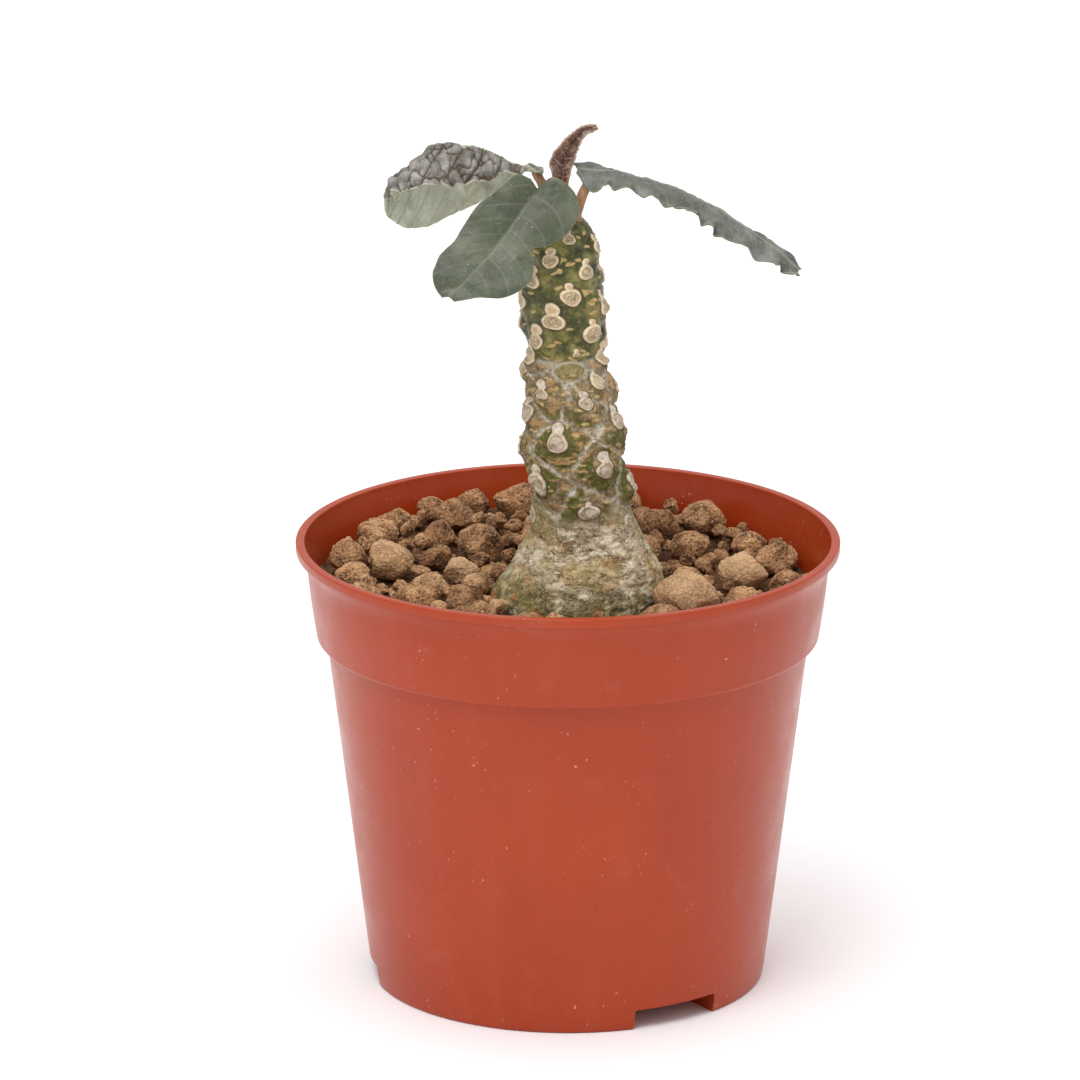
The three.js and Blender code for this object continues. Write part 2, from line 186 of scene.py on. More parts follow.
def throughPoints(points, amount):        # a smooth curve through the points, sampled evenly in its parameter
    points = np.asarray(points, dtype=float)
    count = len(points)
    padded = np.concatenate([[2 * points[0] - points[1]], points, [2 * points[-1] - points[-2]]])
    at = np.linspace(0, count - 1, amount)
    index = np.minimum(at.astype(int), count - 2)
    part = (at - index).reshape((-1,) + (1,) * (points.ndim - 1))
    p0, p1, p2, p3 = (padded[index + step] for step in range(4))
    return 0.5 * (2 * p1 + (p2 - p0) * part + (2 * p0 - 5 * p1 + 4 * p2 - p3) * part ** 2
                  + (3 * p1 - p0 - 3 * p2 + p3) * part ** 3)


def ink(red, green, blue):                # an everyday 0 to 255 colour as the linear one that shaders want
    linear = [((c / 255 + 0.055) / 1.055) ** 2.4 if c > 10 else c / 255 / 12.92 for c in (red, green, blue)]
    return (*linear, 1)


def put(tree, kind, inputs=None, **settings):
    made = tree.nodes.new(kind)
    for key, value in settings.items():
        setattr(made, key, value)
    for key, value in (inputs or {}).items():
        if isinstance(value, bpy.types.NodeSocket):
            tree.links.new(value, made.inputs[key])
        else:
            made.inputs[key].default_value = value
    return made


def newMaterial(name):
    material = bpy.data.materials.new(name)
    material.use_nodes = True
    tree = material.node_tree
    tree.nodes.clear()
    shader = put(tree, "ShaderNodeBsdfPrincipled")
    put(tree, "ShaderNodeOutputMaterial", {"Surface": shader.outputs[0]})
    place = put(tree, "ShaderNodeTexCoord").outputs["Object"]
    return material, tree, shader, place


def grain(tree, place, size, detail=3.0, roughness=0.5, stretch=(1, 1, 1)):      # noise with lumps of size mm
    where = put(tree, "ShaderNodeMapping", {"Vector": place, "Scale": stretch}).outputs[0]
    noise = put(tree, "ShaderNodeTexNoise", {"Vector": where, "Scale": 1 / (size * mm), "Detail": detail,
                                             "Roughness": roughness})
    return noise.outputs[0]


def ramp(tree, value, stops):             # stops are (place, linear colour)
    made = put(tree, "ShaderNodeValToRGB", {"Fac": value})
    elements = made.color_ramp.elements
    while len(elements) < len(stops):
        elements.new(0.5)
    for element, (place, colour) in zip(elements, stops):
        element.position = place
        element.color = colour
    return made.outputs[0]


def shades(tree, value, places, colours):             # a ramp of 0 to 255 colours
    return ramp(tree, value, [(place, ink(*colour)) for place, colour in zip(places, colours)])


def blendColours(tree, share, first, second, mode="MIX"):
    made = put(tree, "ShaderNodeMix", data_type="RGBA", blend_type=mode)
    for socket, value in ((made.inputs[0], share), (made.inputs[6], first), (made.inputs[7], second)):
        if isinstance(value, bpy.types.NodeSocket):
            tree.links.new(value, socket)
        else:
            socket.default_value = value
    return made.outputs[2]


def sums(tree, operation, first, second=0.0):
    return put(tree, "ShaderNodeMath", {0: first, 1: second}, operation=operation).outputs[0]


def times(tree, first, second):
    return sums(tree, "MULTIPLY", first, second)


def wash(tree, share, colour, paint):     # blends in a 0 to 255 colour
    return blendColours(tree, share, colour, ink(*paint))


def band(tree, value, low, high, outLow=0.0, outHigh=1.0):      # maps low..high to outLow..outHigh, clamped
    limits = {"Value": value, "From Min": low, "From Max": high, "To Min": outLow, "To Max": outHigh}
    return put(tree, "ShaderNodeMapRange", limits, interpolation_type="SMOOTHSTEP").outputs[0]


def mark(tree, name):                     # a value painted on the mesh's points
    return put(tree, "ShaderNodeAttribute", attribute_name=name).outputs["Fac"]


def marksOf(tree, *names):
    return [mark(tree, name) for name in names]


def raised(tree, shader, height, distance, strength=1.0):
    bump = put(tree, "ShaderNodeBump", {"Height": height, "Distance": distance * mm, "Strength": strength})
    tree.links.new(bump.outputs[0], shader.inputs["Normal"])


def wire(tree, shader, **values):
    names = {"colour": "Base Color", "roughness": "Roughness"}
    for key, value in values.items():
        socket = shader.inputs[names.get(key, key)]
        if isinstance(value, bpy.types.NodeSocket):
            tree.links.new(value, socket)
        else:
            socket.default_value = value


view = {"place": (-5.385, -1648.9, 587.17), "pitch": 16.867, "lens": 297.97, "sensor": 36, "farthest": 30}
studio = {
    "floorSize": 9.0, "floorColours": ((252, 251, 253), (252, 252, 252)), "floorPatch": 300, "surround": 0.66,
    "aimAt": (0, 0, 0.08),
    "ceiling": {"place": (0, 0.1, 2.2), "size": 3.0, "power": 36.0},
    "key": {"place": (-0.32, -0.7, 1.25), "size": 0.7, "power": 7.0},
}


def setCamera():
    lens = bpy.data.cameras.new("camera")
    lens.lens = view["lens"]
    lens.sensor_width = view["sensor"]
    lens.clip_end = view["farthest"]
    camera = bpy.data.objects.new("camera", lens)
    camera.location = [value * mm for value in view["place"]]
    camera.rotation_euler = (math.radians(90 - view["pitch"]), 0, 0)
    bpy.context.scene.collection.objects.link(camera)
    bpy.context.scene.camera = camera


def setStudio():
    half = studio["floorSize"] / 2
    mesh = bpy.data.meshes.new("floor")
    corners = [(-half, -half, 0), (half, -half, 0), (half, half, 0), (-half, half, 0)]
    mesh.from_pydata(corners, [], [(0, 1, 2, 3)])
    floor = bpy.data.objects.new("floor", mesh)
    material, tree, shader, place = newMaterial("paleFloor")
    soft = grain(tree, place, studio["floorPatch"])
    cool, plain = studio["floorColours"]
    colour = blendColours(tree, soft, ink(*cool), ink(*plain))
    wire(tree, shader, colour=colour, roughness=0.9)
    mesh.materials.append(material)
    bpy.context.scene.collection.objects.link(floor)
    world = bpy.data.worlds.new("surround")
    world.use_nodes = True
    background = world.node_tree.nodes["Background"]
    background.inputs["Color"].default_value = (1, 1, 1, 1)
    background.inputs["Strength"].default_value = studio["surround"]
    bpy.context.scene.world = world
    bpy.context.scene.view_settings.view_transform = "Standard"
    for name in ("ceiling", "key"):
        settings = studio[name]
        light = bpy.data.lights.new(name, "AREA")
        light.size = settings["size"]
        light.energy = settings["power"]
        lamp = bpy.data.objects.new(name, light)
        lamp.location = settings["place"]
        aim = np.array(settings["place"]) - np.array(studio["aimAt"])
        flat = math.hypot(aim[0], aim[1])
        lamp.rotation_euler = (math.atan2(flat, aim[2]), 0, math.atan2(aim[0], -aim[1]))
        bpy.context.scene.collection.objects.link(lamp)


setCamera()
setStudio()
print("camera and studio set")


pot = {                                   # sizes in mm, turns in degrees, colours from 0 to 255
    "sides": 288,
    "bandDepth": 19.0, "bandStep": 1.95, "bandBottomRadius": 48.6, "bandTopRadius": 50.2, "bandBulge": 0.12,
    "lipHeight": 2.0, "lipTaper": 4.0, "lipTopWidth": 1.75, "lipStep": 1.0, "wall": 1.2,
    "baseRadius": 38.2, "flatFoot": 6.0,
    "footRound": 0.7, "ledgeRound": 0.35, "bandRound": 0.75, "lipRound": 0.3, "mouthRound": 0.25,
    "channelCount": 3, "channelFirst": -56.8, "channelWidth": 18.3, "channelHeight": 4.1,
    "channelDepth": 15.0, "channelRound": 0.5, "roofRound": 0.8, "drainRadius": 3.5, "drainDepth": 8.0,
    "plastic": (169, 59, 17), "plasticDeep": (160, 53, 13), "dust": (226, 178, 160),
    "streak": (208, 116, 92), "paleSpeck": (238, 205, 190), "darkSpeck": (112, 52, 38),
}


def arc(middle, radius, start, end, steps):           # points of a rounded corner, angles in degrees
    turns = np.radians(np.linspace(start, end, steps))
    return [(middle[0] + radius * math.cos(turn), middle[1] + radius * math.sin(turn)) for turn in turns]


def potProfile():                         # once round: out along the base, up outside, down inside
    top = potTop
    step = top - pot["bandDepth"]
    under = top - pot["lipHeight"]
    taper = under - pot["lipTaper"]
    wall = pot["wall"]
    base = pot["baseRadius"]
    lower = pot["bandBottomRadius"] - pot["bandStep"]
    bandLow, bandHigh = pot["bandBottomRadius"], pot["bandTopRadius"]
    foot, ledge, shoulder = pot["footRound"], pot["ledgeRound"], pot["bandRound"]
    rim, soft = pot["lipRound"], pot["mouthRound"]
    lip = rimRadius
    outer = [(0, 0), (base - pot["flatFoot"], 0)]
    outer += arc((base - foot, foot), foot, -90, -6, 6)
    for share in np.linspace(0.04, 0.97, 24):
        outer.append((base + (lower - base) * share, step * share))
    outer += arc((lower + ledge, step - ledge), ledge, 180, 90, 4)
    outer += arc((bandLow - shoulder, step + shoulder), shoulder, -90, 5, 7)
    clear = 0.8                           # where the band's side starts above the step
    for share in np.linspace(0.1, 0.94, 9):
        bulge = pot["bandBulge"] * math.sin(math.pi * share)
        height = step + clear + (taper - step - clear) * share
        outer.append((bandLow + (bandHigh - bandLow) * share + bulge, height))
    tuck = lip - pot["lipStep"]
    flare = [(bandHigh, taper), (bandHigh + 0.4, under - 2.2), (tuck, under - 0.1)]
    outer += throughPoints(flare, 9).tolist()
    outer += arc((tuck + 0.1, under + 0.1), 0.1, 180, 90, 3)
    outer += arc((lip - 0.25, under + 0.4), 0.2, -90, 0, 4)
    outer += arc((lip - rim, top - rim), rim, 0, 90, 6)
    mouth = lip - pot["lipTopWidth"]
    inner = arc((mouth + soft, top - soft), soft, 90, 180, 5)
    inner += [(mouth - 0.15, top - 1.4), (bandHigh - wall, taper)]
    inner += [(bandLow - wall, step + wall + 0.9)]
    inner += arc((bandLow - wall - 0.5, step + wall + 0.5), 0.5, 0, -90, 5)
    inner += arc((lower - wall + 0.4, step + wall - 0.4), 0.4, 90, 180, 4)
    inner += [(base - wall + (lower - base) * share, step * share) for share in (0.75, 0.5, 0.25, 0.06)]
    inner += arc((base - wall - 0.8, wall + 0.8), 0.8, 0, -90, 5)
    inner += [(0, wall)]
    return np.array(outer + inner)


def potPlastic():
    material, tree, shader, place = newMaterial("pot_plastic")
    cloud = grain(tree, place, 26, 4)
    colour = shades(tree, cloud, (0.3, 0.7), (pot["plasticDeep"], pot["plastic"]))
    streaks = grain(tree, place, 5, 4, 0.6, (1, 1, 0.08))
    colour = wash(tree, band(tree, streaks, 0.45, 0.8, 0, 0.06), colour, pot["streak"])
    film = grain(tree, place, 9, 6, 0.65)
    colour = wash(tree, band(tree, film, 0.55, 0.78, 0, 0.05), colour, pot["dust"])
    specks = grain(tree, place, 0.8, 2, 0.4)
    flaws = band(tree, grain(tree, place, 11, 2), 0.5, 0.62)
    pale = times(tree, band(tree, specks, 0.70, 0.76, 0, 0.4), flaws)
    colour = wash(tree, pale, colour, pot["paleSpeck"])
    flecks = grain(tree, place, 1.3, 2, 0.4, (1.1, 0.9, 1))
    dark = band(tree, flecks, 0.76, 0.775, 0, 0.6)
    colour = wash(tree, dark, colour, pot["darkSpeck"])
    wire(tree, shader, colour=colour, roughness=band(tree, film, 0.3, 0.75, 0.25, 0.38))
    shader.inputs["Specular IOR Level"].default_value = 0.34
    skin = grain(tree, place, 0.8, 2)
    ripple = grain(tree, place, 14, 2)
    height = sums(tree, "ADD", times(tree, skin, 0.12), times(tree, ripple, 1.0))
    raised(tree, shader, height, 0.25, 0.35)
    return material


def lathe(profile, sides):                # a turned mesh whose profile starts and ends on the axis
    turns = 2 * np.pi * np.arange(sides) / sides
    ring = profile[1:-1]
    points = np.stack([np.outer(ring[:, 0], np.cos(turns)), np.outer(ring[:, 0], np.sin(turns)),
                       np.repeat(ring[:, 1:], sides, axis=1)], axis=-1).reshape(-1, 3)
    points = np.vstack([points, [[0, 0, profile[0][1]], [0, 0, profile[-1][1]]]])
    return points, closedTube(len(ring), sides)


def toolFrom(build, name):                # a boolean tool from a mesh built in mm
    bmesh.ops.scale(build, vec=(mm, mm, mm), verts=build.verts)
    mesh = bpy.data.meshes.new(name)
    build.to_mesh(mesh)
    build.free()
    tool = bpy.data.objects.new(name, mesh)
    bpy.context.scene.collection.objects.link(tool)
    return tool


def channelCutter(grow, outerEnd, low, high, rounding, name):      # a rounded bar in each channel's place
    build = bmesh.new()
    inner = pot["baseRadius"] - pot["channelDepth"] - grow
    for index in range(pot["channelCount"]):
        turn = math.radians(pot["channelFirst"] + 360 / pot["channelCount"] * index)
        made = bmesh.ops.create_cube(build, size=1)["verts"]
        for vert in made:
            x = inner if vert.co.x < 0 else outerEnd
            y = vert.co.y * (pot["channelWidth"] + 2 * grow)
            z = low if vert.co.z < 0 else high
            vert.co = (x * math.cos(turn) - y * math.sin(turn), x * math.sin(turn) + y * math.cos(turn), z)
    top = [edge for edge in build.edges if all(vert.co.z > high - 0.01 for vert in edge.verts)]
    if rounding:
        bmesh.ops.bevel(build, geom=top, offset=rounding, segments=3, affect="EDGES", profile=0.5)
    return toolFrom(build, name)


def drainCutter():
    build = bmesh.new()
    reach = pot["baseRadius"] - pot["channelDepth"] / 2
    for index in range(pot["channelCount"]):
        turn = math.radians(pot["channelFirst"] + 360 / pot["channelCount"] * index)
        made = bmesh.ops.create_cone(build, cap_ends=True, segments=48, radius1=pot["drainRadius"],
                                     radius2=pot["drainRadius"], depth=pot["drainDepth"])["verts"]
        middle = (reach * math.cos(turn), reach * math.sin(turn), pot["channelHeight"])
        bmesh.ops.translate(build, vec=middle, verts=made)
    return toolFrom(build, "drainCutter")


def footFiller():                         # the space inside the wall's foot, which trims the channel roofs
    build = bmesh.new()
    tall = 2 * pot["channelHeight"]
    slope = (pot["bandBottomRadius"] - pot["bandStep"] - pot["baseRadius"]) / (potTop - pot["bandDepth"])
    wide = pot["baseRadius"] - 0.1
    made = bmesh.ops.create_cone(build, cap_ends=True, segments=pot["sides"], radius1=wide,
                                 radius2=wide + slope * tall, depth=tall)["verts"]
    bmesh.ops.translate(build, vec=(0, 0, tall / 2), verts=made)
    return toolFrom(build, "footFiller")


def shaped(piece, tools):                 # applies boolean tools, as (object, operation), and removes them
    for tool, operation in tools:
        change = piece.modifiers.new(tool.name, "BOOLEAN")
        change.object = tool
        change.operation = operation
        change.solver = "EXACT"
    bpy.context.view_layer.update()
    changed = piece.evaluated_get(bpy.context.evaluated_depsgraph_get())
    done = bpy.data.meshes.new_from_object(changed)
    piece.modifiers.clear()
    piece.data = done
    for tool, operation in tools:
        bpy.data.objects.remove(tool)


def makePot():
    points, faces = lathe(potProfile(), pot["sides"])
    piece = makePiece("flower_pot", points, faces, [potPlastic()], ["pot"])
    wall, tall = pot["wall"], pot["channelHeight"]
    outerEnd = pot["baseRadius"] - wall / 2
    roof = channelCutter(wall, outerEnd, wall / 2, tall + wall, pot["roofRound"], "channelRoof")
    shaped(roof, [(footFiller(), "INTERSECT")])
    void = channelCutter(0, rimRadius, -3, tall, pot["channelRound"], "channelVoid")
    shaped(piece, [(roof, "UNION"), (void, "DIFFERENCE"), (drainCutter(), "DIFFERENCE")])
    piece.data.set_sharp_from_angle(angle=math.radians(38))


makePot()
print("pot made")


stones = {
    "roundness": 18, "lump": 0.07, "knob": 0.22, "crumb": 0.19,      # mm of relief at falling sizes
    "smallCount": 160, "smallest": 1.7, "largest": 3.6,
    "paleStones": {27: 0.85, 25: 0.95, 15: 0.9, 16: 0.75, 28: 0.72, 7: 0.8, 4: 0.75, 18: 0.8, 21: 0.66},
    "rootMiddle": (2.3, -6), "rootZone": 15.5,         # small stones stay that far from the stem's foot, mm
    "halfSunk": 0.75, "nestle": 0.97, "settle": 0.92,  # how deep small stones sink in the soil and each other
    "heap": 5.4, "heapSpread": 1.4,        # how high the heap may rise above the soil, mm
    "earth": (157, 112, 77), "pale": (194, 149, 108), "dark": (94, 65, 45), "dusty": (218, 182, 140),
    "quartz": (226, 204, 176),
}
soil = {
    "rows": 96, "columns": 240, "crumb": 3.2, "crumbHeight": 1.2, "rough": 0.5, "depth": 1.5,        # mm
    "earth": (104, 72, 50), "pale": (132, 96, 66), "dark": (52, 34, 24), "dusty": (150, 112, 80),
}


def ballPoints(level):
    build = bmesh.new()
    bmesh.ops.create_icosphere(build, subdivisions=level, radius=1)
    points = np.array([vert.co[:] for vert in build.verts])
    faces = [[vert.index for vert in face.verts] for face in build.faces]
    build.free()
    return points / np.linalg.norm(points, axis=1, keepdims=True), faces


def stonePlanes(name):                    # a frame stone's faces as directions and distances from its middle
    corners = nodePoints(name)
    middle = (corners.min(axis=0) + corners.max(axis=0)) / 2
    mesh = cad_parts[name].data
    normals, distances = [], []
    for face in mesh.polygons:
        normal = np.array(face.normal)
        distance = normal @ (np.array(face.center) / mm - middle)
        if distance > 0.2:
            normals.append(normal)
            distances.append(distance)
    return middle, np.array(normals), np.array(distances)


def chamfers(corners, seed):              # planes that knock the corners off a stone, unevenly
    draws = mixedHash(np.array([[way, use] for way in range(11) for use in range(4)]), seed).reshape(-1, 4)
    ways = draws[:, :3] * 2 - 1
    ways /= np.linalg.norm(ways, axis=1, keepdims=True)
    return ways, (corners @ ways.T).max(axis=0) * (0.6 + 0.3 * draws[:, 3])


def within(sphere, ways, reaches, ball=0):          # the rounded solid inside the planes and a unit ball
    share = np.maximum(sphere @ ways.T, 0) / reaches
    power = stones["roundness"]
    return sphere * (((share ** power).sum(axis=1) + ball) ** (-1 / power))[:, None]


def roughened(points, middle, away, length, seed):    # the crumbly relief of a stone coated with sandy grains
    lump = softNoise(points, length * 0.42, seed) * length * stones["lump"] * 0.6
    knob = layeredNoise(points, length * 0.16 + 0.5, 2, seed + 5) * stones["knob"] * min(1, length / 7)
    grains = 1 - cellNoise(points, 0.72, seed + 9)[0] / 0.42
    patches = ease(-0.5, 0.3, softNoise(points, 2.5, seed + 11))
    crumb = (np.clip(grains, -0.4, 1) * patches + 0.6 * softNoise(points, 0.4, seed + 3)) * stones["crumb"]
    return points + away * (lump + knob + crumb)[:, None]


def stoneMaterial(name, colours):
    material, tree, shader, place = newMaterial(name)
    earth, pale, dark, dusty = (colours[key] for key in ("earth", "pale", "dark", "dusty"))
    tone = mark(tree, "tone")
    coarse = grain(tree, place, 3.2, 3, 0.5)
    colour = shades(tree, coarse, (0.32, 0.46, 0.62), (dark, earth, pale))
    sand = grain(tree, place, 0.42, 2, 0.6)
    colour = wash(tree, band(tree, sand, 0.52, 0.65, 0, 0.7), colour, dusty)
    pits = grain(tree, place, 0.55, 3, 0.6)
    colour = wash(tree, band(tree, pits, 0.46, 0.37, 0, 0.75), colour, [c * 0.6 for c in dark])
    shadow = ramp(tree, tone, [(0, (0.62, 0.58, 0.56, 1)), (0.5, (1, 1, 1, 1))])
    tinted = blendColours(tree, 1.0, colour, shadow, "MULTIPLY")
    light = wash(tree, band(tree, tone, 0.6, 1.0, 0, 0.55), tinted, dusty)
    quartz = grain(tree, place, 0.42, 1, 0.3)
    light = wash(tree, band(tree, quartz, 0.72, 0.78, 0, 0.6), light, stones["quartz"])
    wire(tree, shader, colour=light, roughness=0.95)
    shader.inputs["Specular IOR Level"].default_value = 0.2
    height = sums(tree, "ADD", sand, times(tree, pits, 0.8))
    raised(tree, shader, height, 0.35, 0.9)
    return material


def makeLargeStones(material):
    sphere, faces = ballPoints(6)
    names = sorted(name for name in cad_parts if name.startswith("stone_"))
    balls = []
    for index, name in enumerate(names):
        middle, normals, distances = stonePlanes(name)
        low, high = nodeBox(name)
        length = (high - low).max()
        ways, reaches = chamfers(nodePoints(name) - middle, 500 + index)
        shape = within(sphere, np.vstack([normals, ways]), np.concatenate([distances, reaches]))
        points = roughened(middle + shape, middle, sphere, length, 31 * index)
        least, most = points.min(axis=0), points.max(axis=0)
        points = low + (points - least) * (high - low) / (most - least)
        tone = mixedHash(np.array([index, 7]), 3)
        tone = stones["paleStones"].get(index + 1, tone * 0.72)
        makePiece("top_" + name, points, faces, [material], [name],
                  marks={"tone": np.full(len(points), tone)})
        balls.append((*middle, length * 0.46))
    return balls


def dropStones(balls):                    # small stones let fall into the gaps between the large ones
    small = []
    heap = np.array(balls)
    rootX, rootY = stones["rootMiddle"]
    nestle = stones["nestle"]
    tries = 0
    wallRadius = pot["bandTopRadius"] - pot["wall"] - 0.3
    while len(small) < stones["smallCount"] and tries < 9000:
        tries += 1
        draws = mixedHash(np.array([[tries, use] for use in range(6)]), 11)
        radius = stones["smallest"] + (stones["largest"] - stones["smallest"]) * draws[0] ** 1.6
        away = math.sqrt(draws[1]) * (wallRadius - radius)
        turn = 2 * math.pi * draws[2]
        x, y = away * math.cos(turn), away * math.sin(turn)
        if math.hypot(x - rootX, y - rootY) < stones["rootZone"] + radius * 0.8:
            continue
        everything = np.vstack([heap] + small) if small else heap
        flat = np.hypot(everything[:, 0] - x, everything[:, 1] - y)
        together = everything[:, 3] + radius
        near = flat < together * nestle
        z = bedHeight(x, y) + radius * stones["halfSunk"]
        if near.any():
            above = np.sqrt((together[near] * nestle) ** 2 - flat[near] ** 2)
            rests = everything[near, 2] + above * stones["settle"]
            z = max(z, rests.max())
        if z + radius > bedHeight(x, y) + stones["heap"] + stones["heapSpread"] * draws[3]:
            continue
        small.append(np.array([[x, y, z, radius]]))
    return np.vstack(small)


def makeSmallStones(balls, material):
    small = dropStones(balls)
    sphere, faces = ballPoints(5)
    faces = np.array(faces)
    points, allFaces, tones = [], [], []
    for index, (x, y, z, radius) in enumerate(small):
        draws = mixedHash(np.array([[index, use] for use in range(8)]), 23)
        squeeze = np.array([1.2, 0.75 + 0.3 * draws[0], 0.7 + 0.25 * draws[1]])
        turn = 2 * math.pi * draws[2]
        ways, reaches = chamfers(sphere[::40], 2000 + index)
        turned = within(sphere, ways, reaches, 1) * squeeze
        c, s = math.cos(turn), math.sin(turn)
        spin = np.array([[c, -s, 0], [s, c, 0], [0, 0, 1]])
        shape = turned @ spin.T * radius + (x, y, z)
        shape = roughened(shape, (x, y, z), sphere @ spin.T, radius * 2, 900 + index)
        allFaces.append(faces + index * len(sphere))
        points.append(shape)
        tones.append(np.full(len(sphere), draws[5] * 0.75))
    makePiece("small_stones", np.vstack(points), np.vstack(allFaces), [material],
              marks={"tone": np.concatenate(tones)})


def makeSoil(material):
    rows, columns = soil["rows"], soil["columns"]
    edge = pot["bandTopRadius"] - pot["wall"] - 0.15
    share = np.linspace(0, 1, rows)[1:]
    turns = 2 * np.pi * np.arange(columns) / columns
    x = np.outer(share, np.cos(turns)).reshape(-1) * edge
    y = np.outer(share, np.sin(turns)).reshape(-1) * edge
    flat = np.stack([x, y, x * 0], axis=-1)
    crumbs = np.clip(1.0 - cellNoise(flat, soil["crumb"], 5)[0] / 1.9, -0.3, 1)
    z = bedHeight(x, y) + 0.5 + crumbs * soil["crumbHeight"] + soil["rough"] * layeredNoise(flat, 1.6, 3, 4)
    points = np.stack([x, y, z], axis=-1)
    faces = ringFaces(rows - 1, columns).tolist()
    under = points[-columns:].copy()
    under[:, 2] = bedHeight(under[:, 0], under[:, 1]) - soil["depth"]
    start = len(points)
    middles = [[0, 0, bedHeight(0, 0) + 1.0], [0, 0, bedHeight(0, 0) - soil["depth"]]]
    points = np.vstack([points, under, middles])
    for side in range(columns):
        follow = (side + 1) % columns
        faces.append([start - columns + side, start - columns + follow, start + follow, start + side])
        faces.append([start + columns, side, follow])
        faces.append([start + columns + 1, start + follow, start + side])
    makePiece("soil_surface", points, faces, [material],
              marks={"tone": np.full(len(points), 0.12)})
    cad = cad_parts["substrate"]
    for index in range(max(1, len(cad.material_slots))):
        if len(cad.material_slots):
            cad.material_slots[index].material = material
        else:
            cad.data.materials.append(material)


stoneLook = stoneMaterial("sandy_stone", stones)
soilLook = stoneMaterial("dark_soil", soil)
largeBalls = makeLargeStones(stoneLook)
print("large stones made:", len(largeBalls))
makeSmallStones(largeBalls, stoneLook)
makeSoil(soilLook)
print("small stones and soil made")


stem = {
    "columns": 300, "rowStep": 0.19, "soilHeight": 76.5,          # the tip's height above the soil, mm
    "sections": [                          # height above the soil, middle's X, radius, all mm
        (-16, 2.1, 16.8), (-6, 2.1, 17.2), (-0.7, 2.15, 17.05), (2.5, 2.4, 16.7), (5, 2.9, 15.6),
        (7.5, 3.3, 14.5), (10.5, 3.2, 12.9), (13, 3.3, 11.4), (15.5, 3.1, 10.2), (19.5, 2.6, 9.1),
        (23, 2.6, 9.1), (27.5, 1.2, 9.3), (31, 0.9, 9.5), (34.5, 1.2, 9.6), (38, 0.8, 8.7), (42, 0.5, 8.0),
        (46.5, -0.6, 7.5), (51, -0.6, 6.9), (55.5, -0.8, 7.6), (60.5, -1.0, 7.9), (65.5, -1.8, 7.4),
        (70.5, -1.8, 7.0), (74.3, -1.8, 6.1), (76, -1.7, 4.9),
    ],
    "scarTurn": 138.3, "scarFirst": 16.0,  # degrees between leaf scars, and where the top one faces
    "scarCount": 57, "hiddenScars": (31,),
    "scarHeights": [                       # scar number and its height above the soil
        (-4, 78), (0, 74.1), (10, 65.8), (21, 55.4), (26, 51.6), (31, 48.9), (36, 43.8), (39, 42.1),
        (41, 39.1), (44, 34.7), (47, 29.1), (49, 25.9), (52, 20.9), (55, 17.0), (60, 9.0),
    ],
    "scarDrift": [(24, 0), (27, 6), (31, 8), (39, 10), (43, 0)],     # degrees older scars have slipped
    "oddScars": {                          # scar number: half width, half height and bud size, mm
        0: (1.1, 0.9, 0.5), 8: (1.75, 1.4, 0.75), 10: (1.75, 1.45, 0.85), 13: (1.95, 1.6, 0.75),
        18: (2.25, 1.6, 1.25), 23: (1.35, 1.55, 1.2), 26: (0.7, 0.5, 0.4), 34: (1.5, 1.35, 0.3),
        36: (1.15, 1.1, 0.95), 39: (1.3, 1.15, 0.75), 44: (1.85, 2.0, 1.05), 47: (1.75, 1.75, 1.1),
        49: (1.7, 2.3, 1.0), 52: (2.0, 1.4, 0.5),
    },
    "shield": (8.0, 48.0, 3.3, 1.9),       # the broad flat old scar: degrees, height, half width, half height
    "lensCount": 330,
    "greenFrom": 49.6,                     # the ring where grey corky bark turns green, mm above the soil
    "caudexBelow": 19.0,
    "tubercle": 2.6, "groove": 0.75, "ringWidth": 0.45,          # half widths, mm
    "scarLift": 0.34, "scarHollow": 0.16, "budLift": 0.34, "poreLift": 0.16, "shieldLift": 0.3,      # mm
    "wrinkle": 0.28, "skinRough": 0.16, "crack": 0.10, "swelling": 0.45, "ringDepth": 0.35,          # mm
}
bark = {                                  # the stem's colours from 0 to 255, dark to pale
    "green": ((36, 41, 10), (78, 80, 30), (138, 130, 70)), "greenWorn": (134, 118, 72),
    # grooveShade is painted shade for the sunk grooves between the green tubercles
    "grooveShade": (60, 60, 34), "brown": ((92, 76, 48), (136, 118, 86), (172, 156, 126)),
    "olive": ((66, 68, 22), (94, 92, 38), (132, 120, 70)), "flake": ((146, 108, 68), (196, 158, 112)),
    "furrow": ((150, 140, 118), (212, 206, 190)), "ring": (186, 178, 152),
    "shield": ((110, 98, 54), (150, 136, 92), (180, 166, 124)), "shieldEdge": (188, 182, 166),
    "silver": ((124, 106, 76), (186, 170, 138), (234, 220, 194)),
    "straw": ((118, 98, 58), (172, 150, 104), (216, 198, 154)), "moss": ((72, 72, 28), (132, 122, 66)),
    # foldShade is painted shade for the hollows of the caudex's wrinkles
    "foldShade": (96, 86, 52), "crack": (54, 42, 18), "rust": (170, 106, 56),
    "pore": ((170, 132, 80), (214, 186, 132)), "scarHalo": (88, 66, 36), "budHalo": (92, 68, 38),
    "cork": ((192, 162, 118), (222, 202, 166), (236, 222, 198)),
    "oldCork": ((128, 104, 80), (196, 180, 158), (228, 218, 202)),
    "heart": (116, 96, 58), "scarLine": (150, 116, 72), "bud": (206, 168, 126),
}


def stemShape(heights):                   # the middle's X and the radius at those heights
    table = np.array(stem["sections"])
    fine = throughPoints(table, 400)
    return np.interp(heights, fine[:, 0], fine[:, 1]), np.interp(heights, fine[:, 0], fine[:, 2])


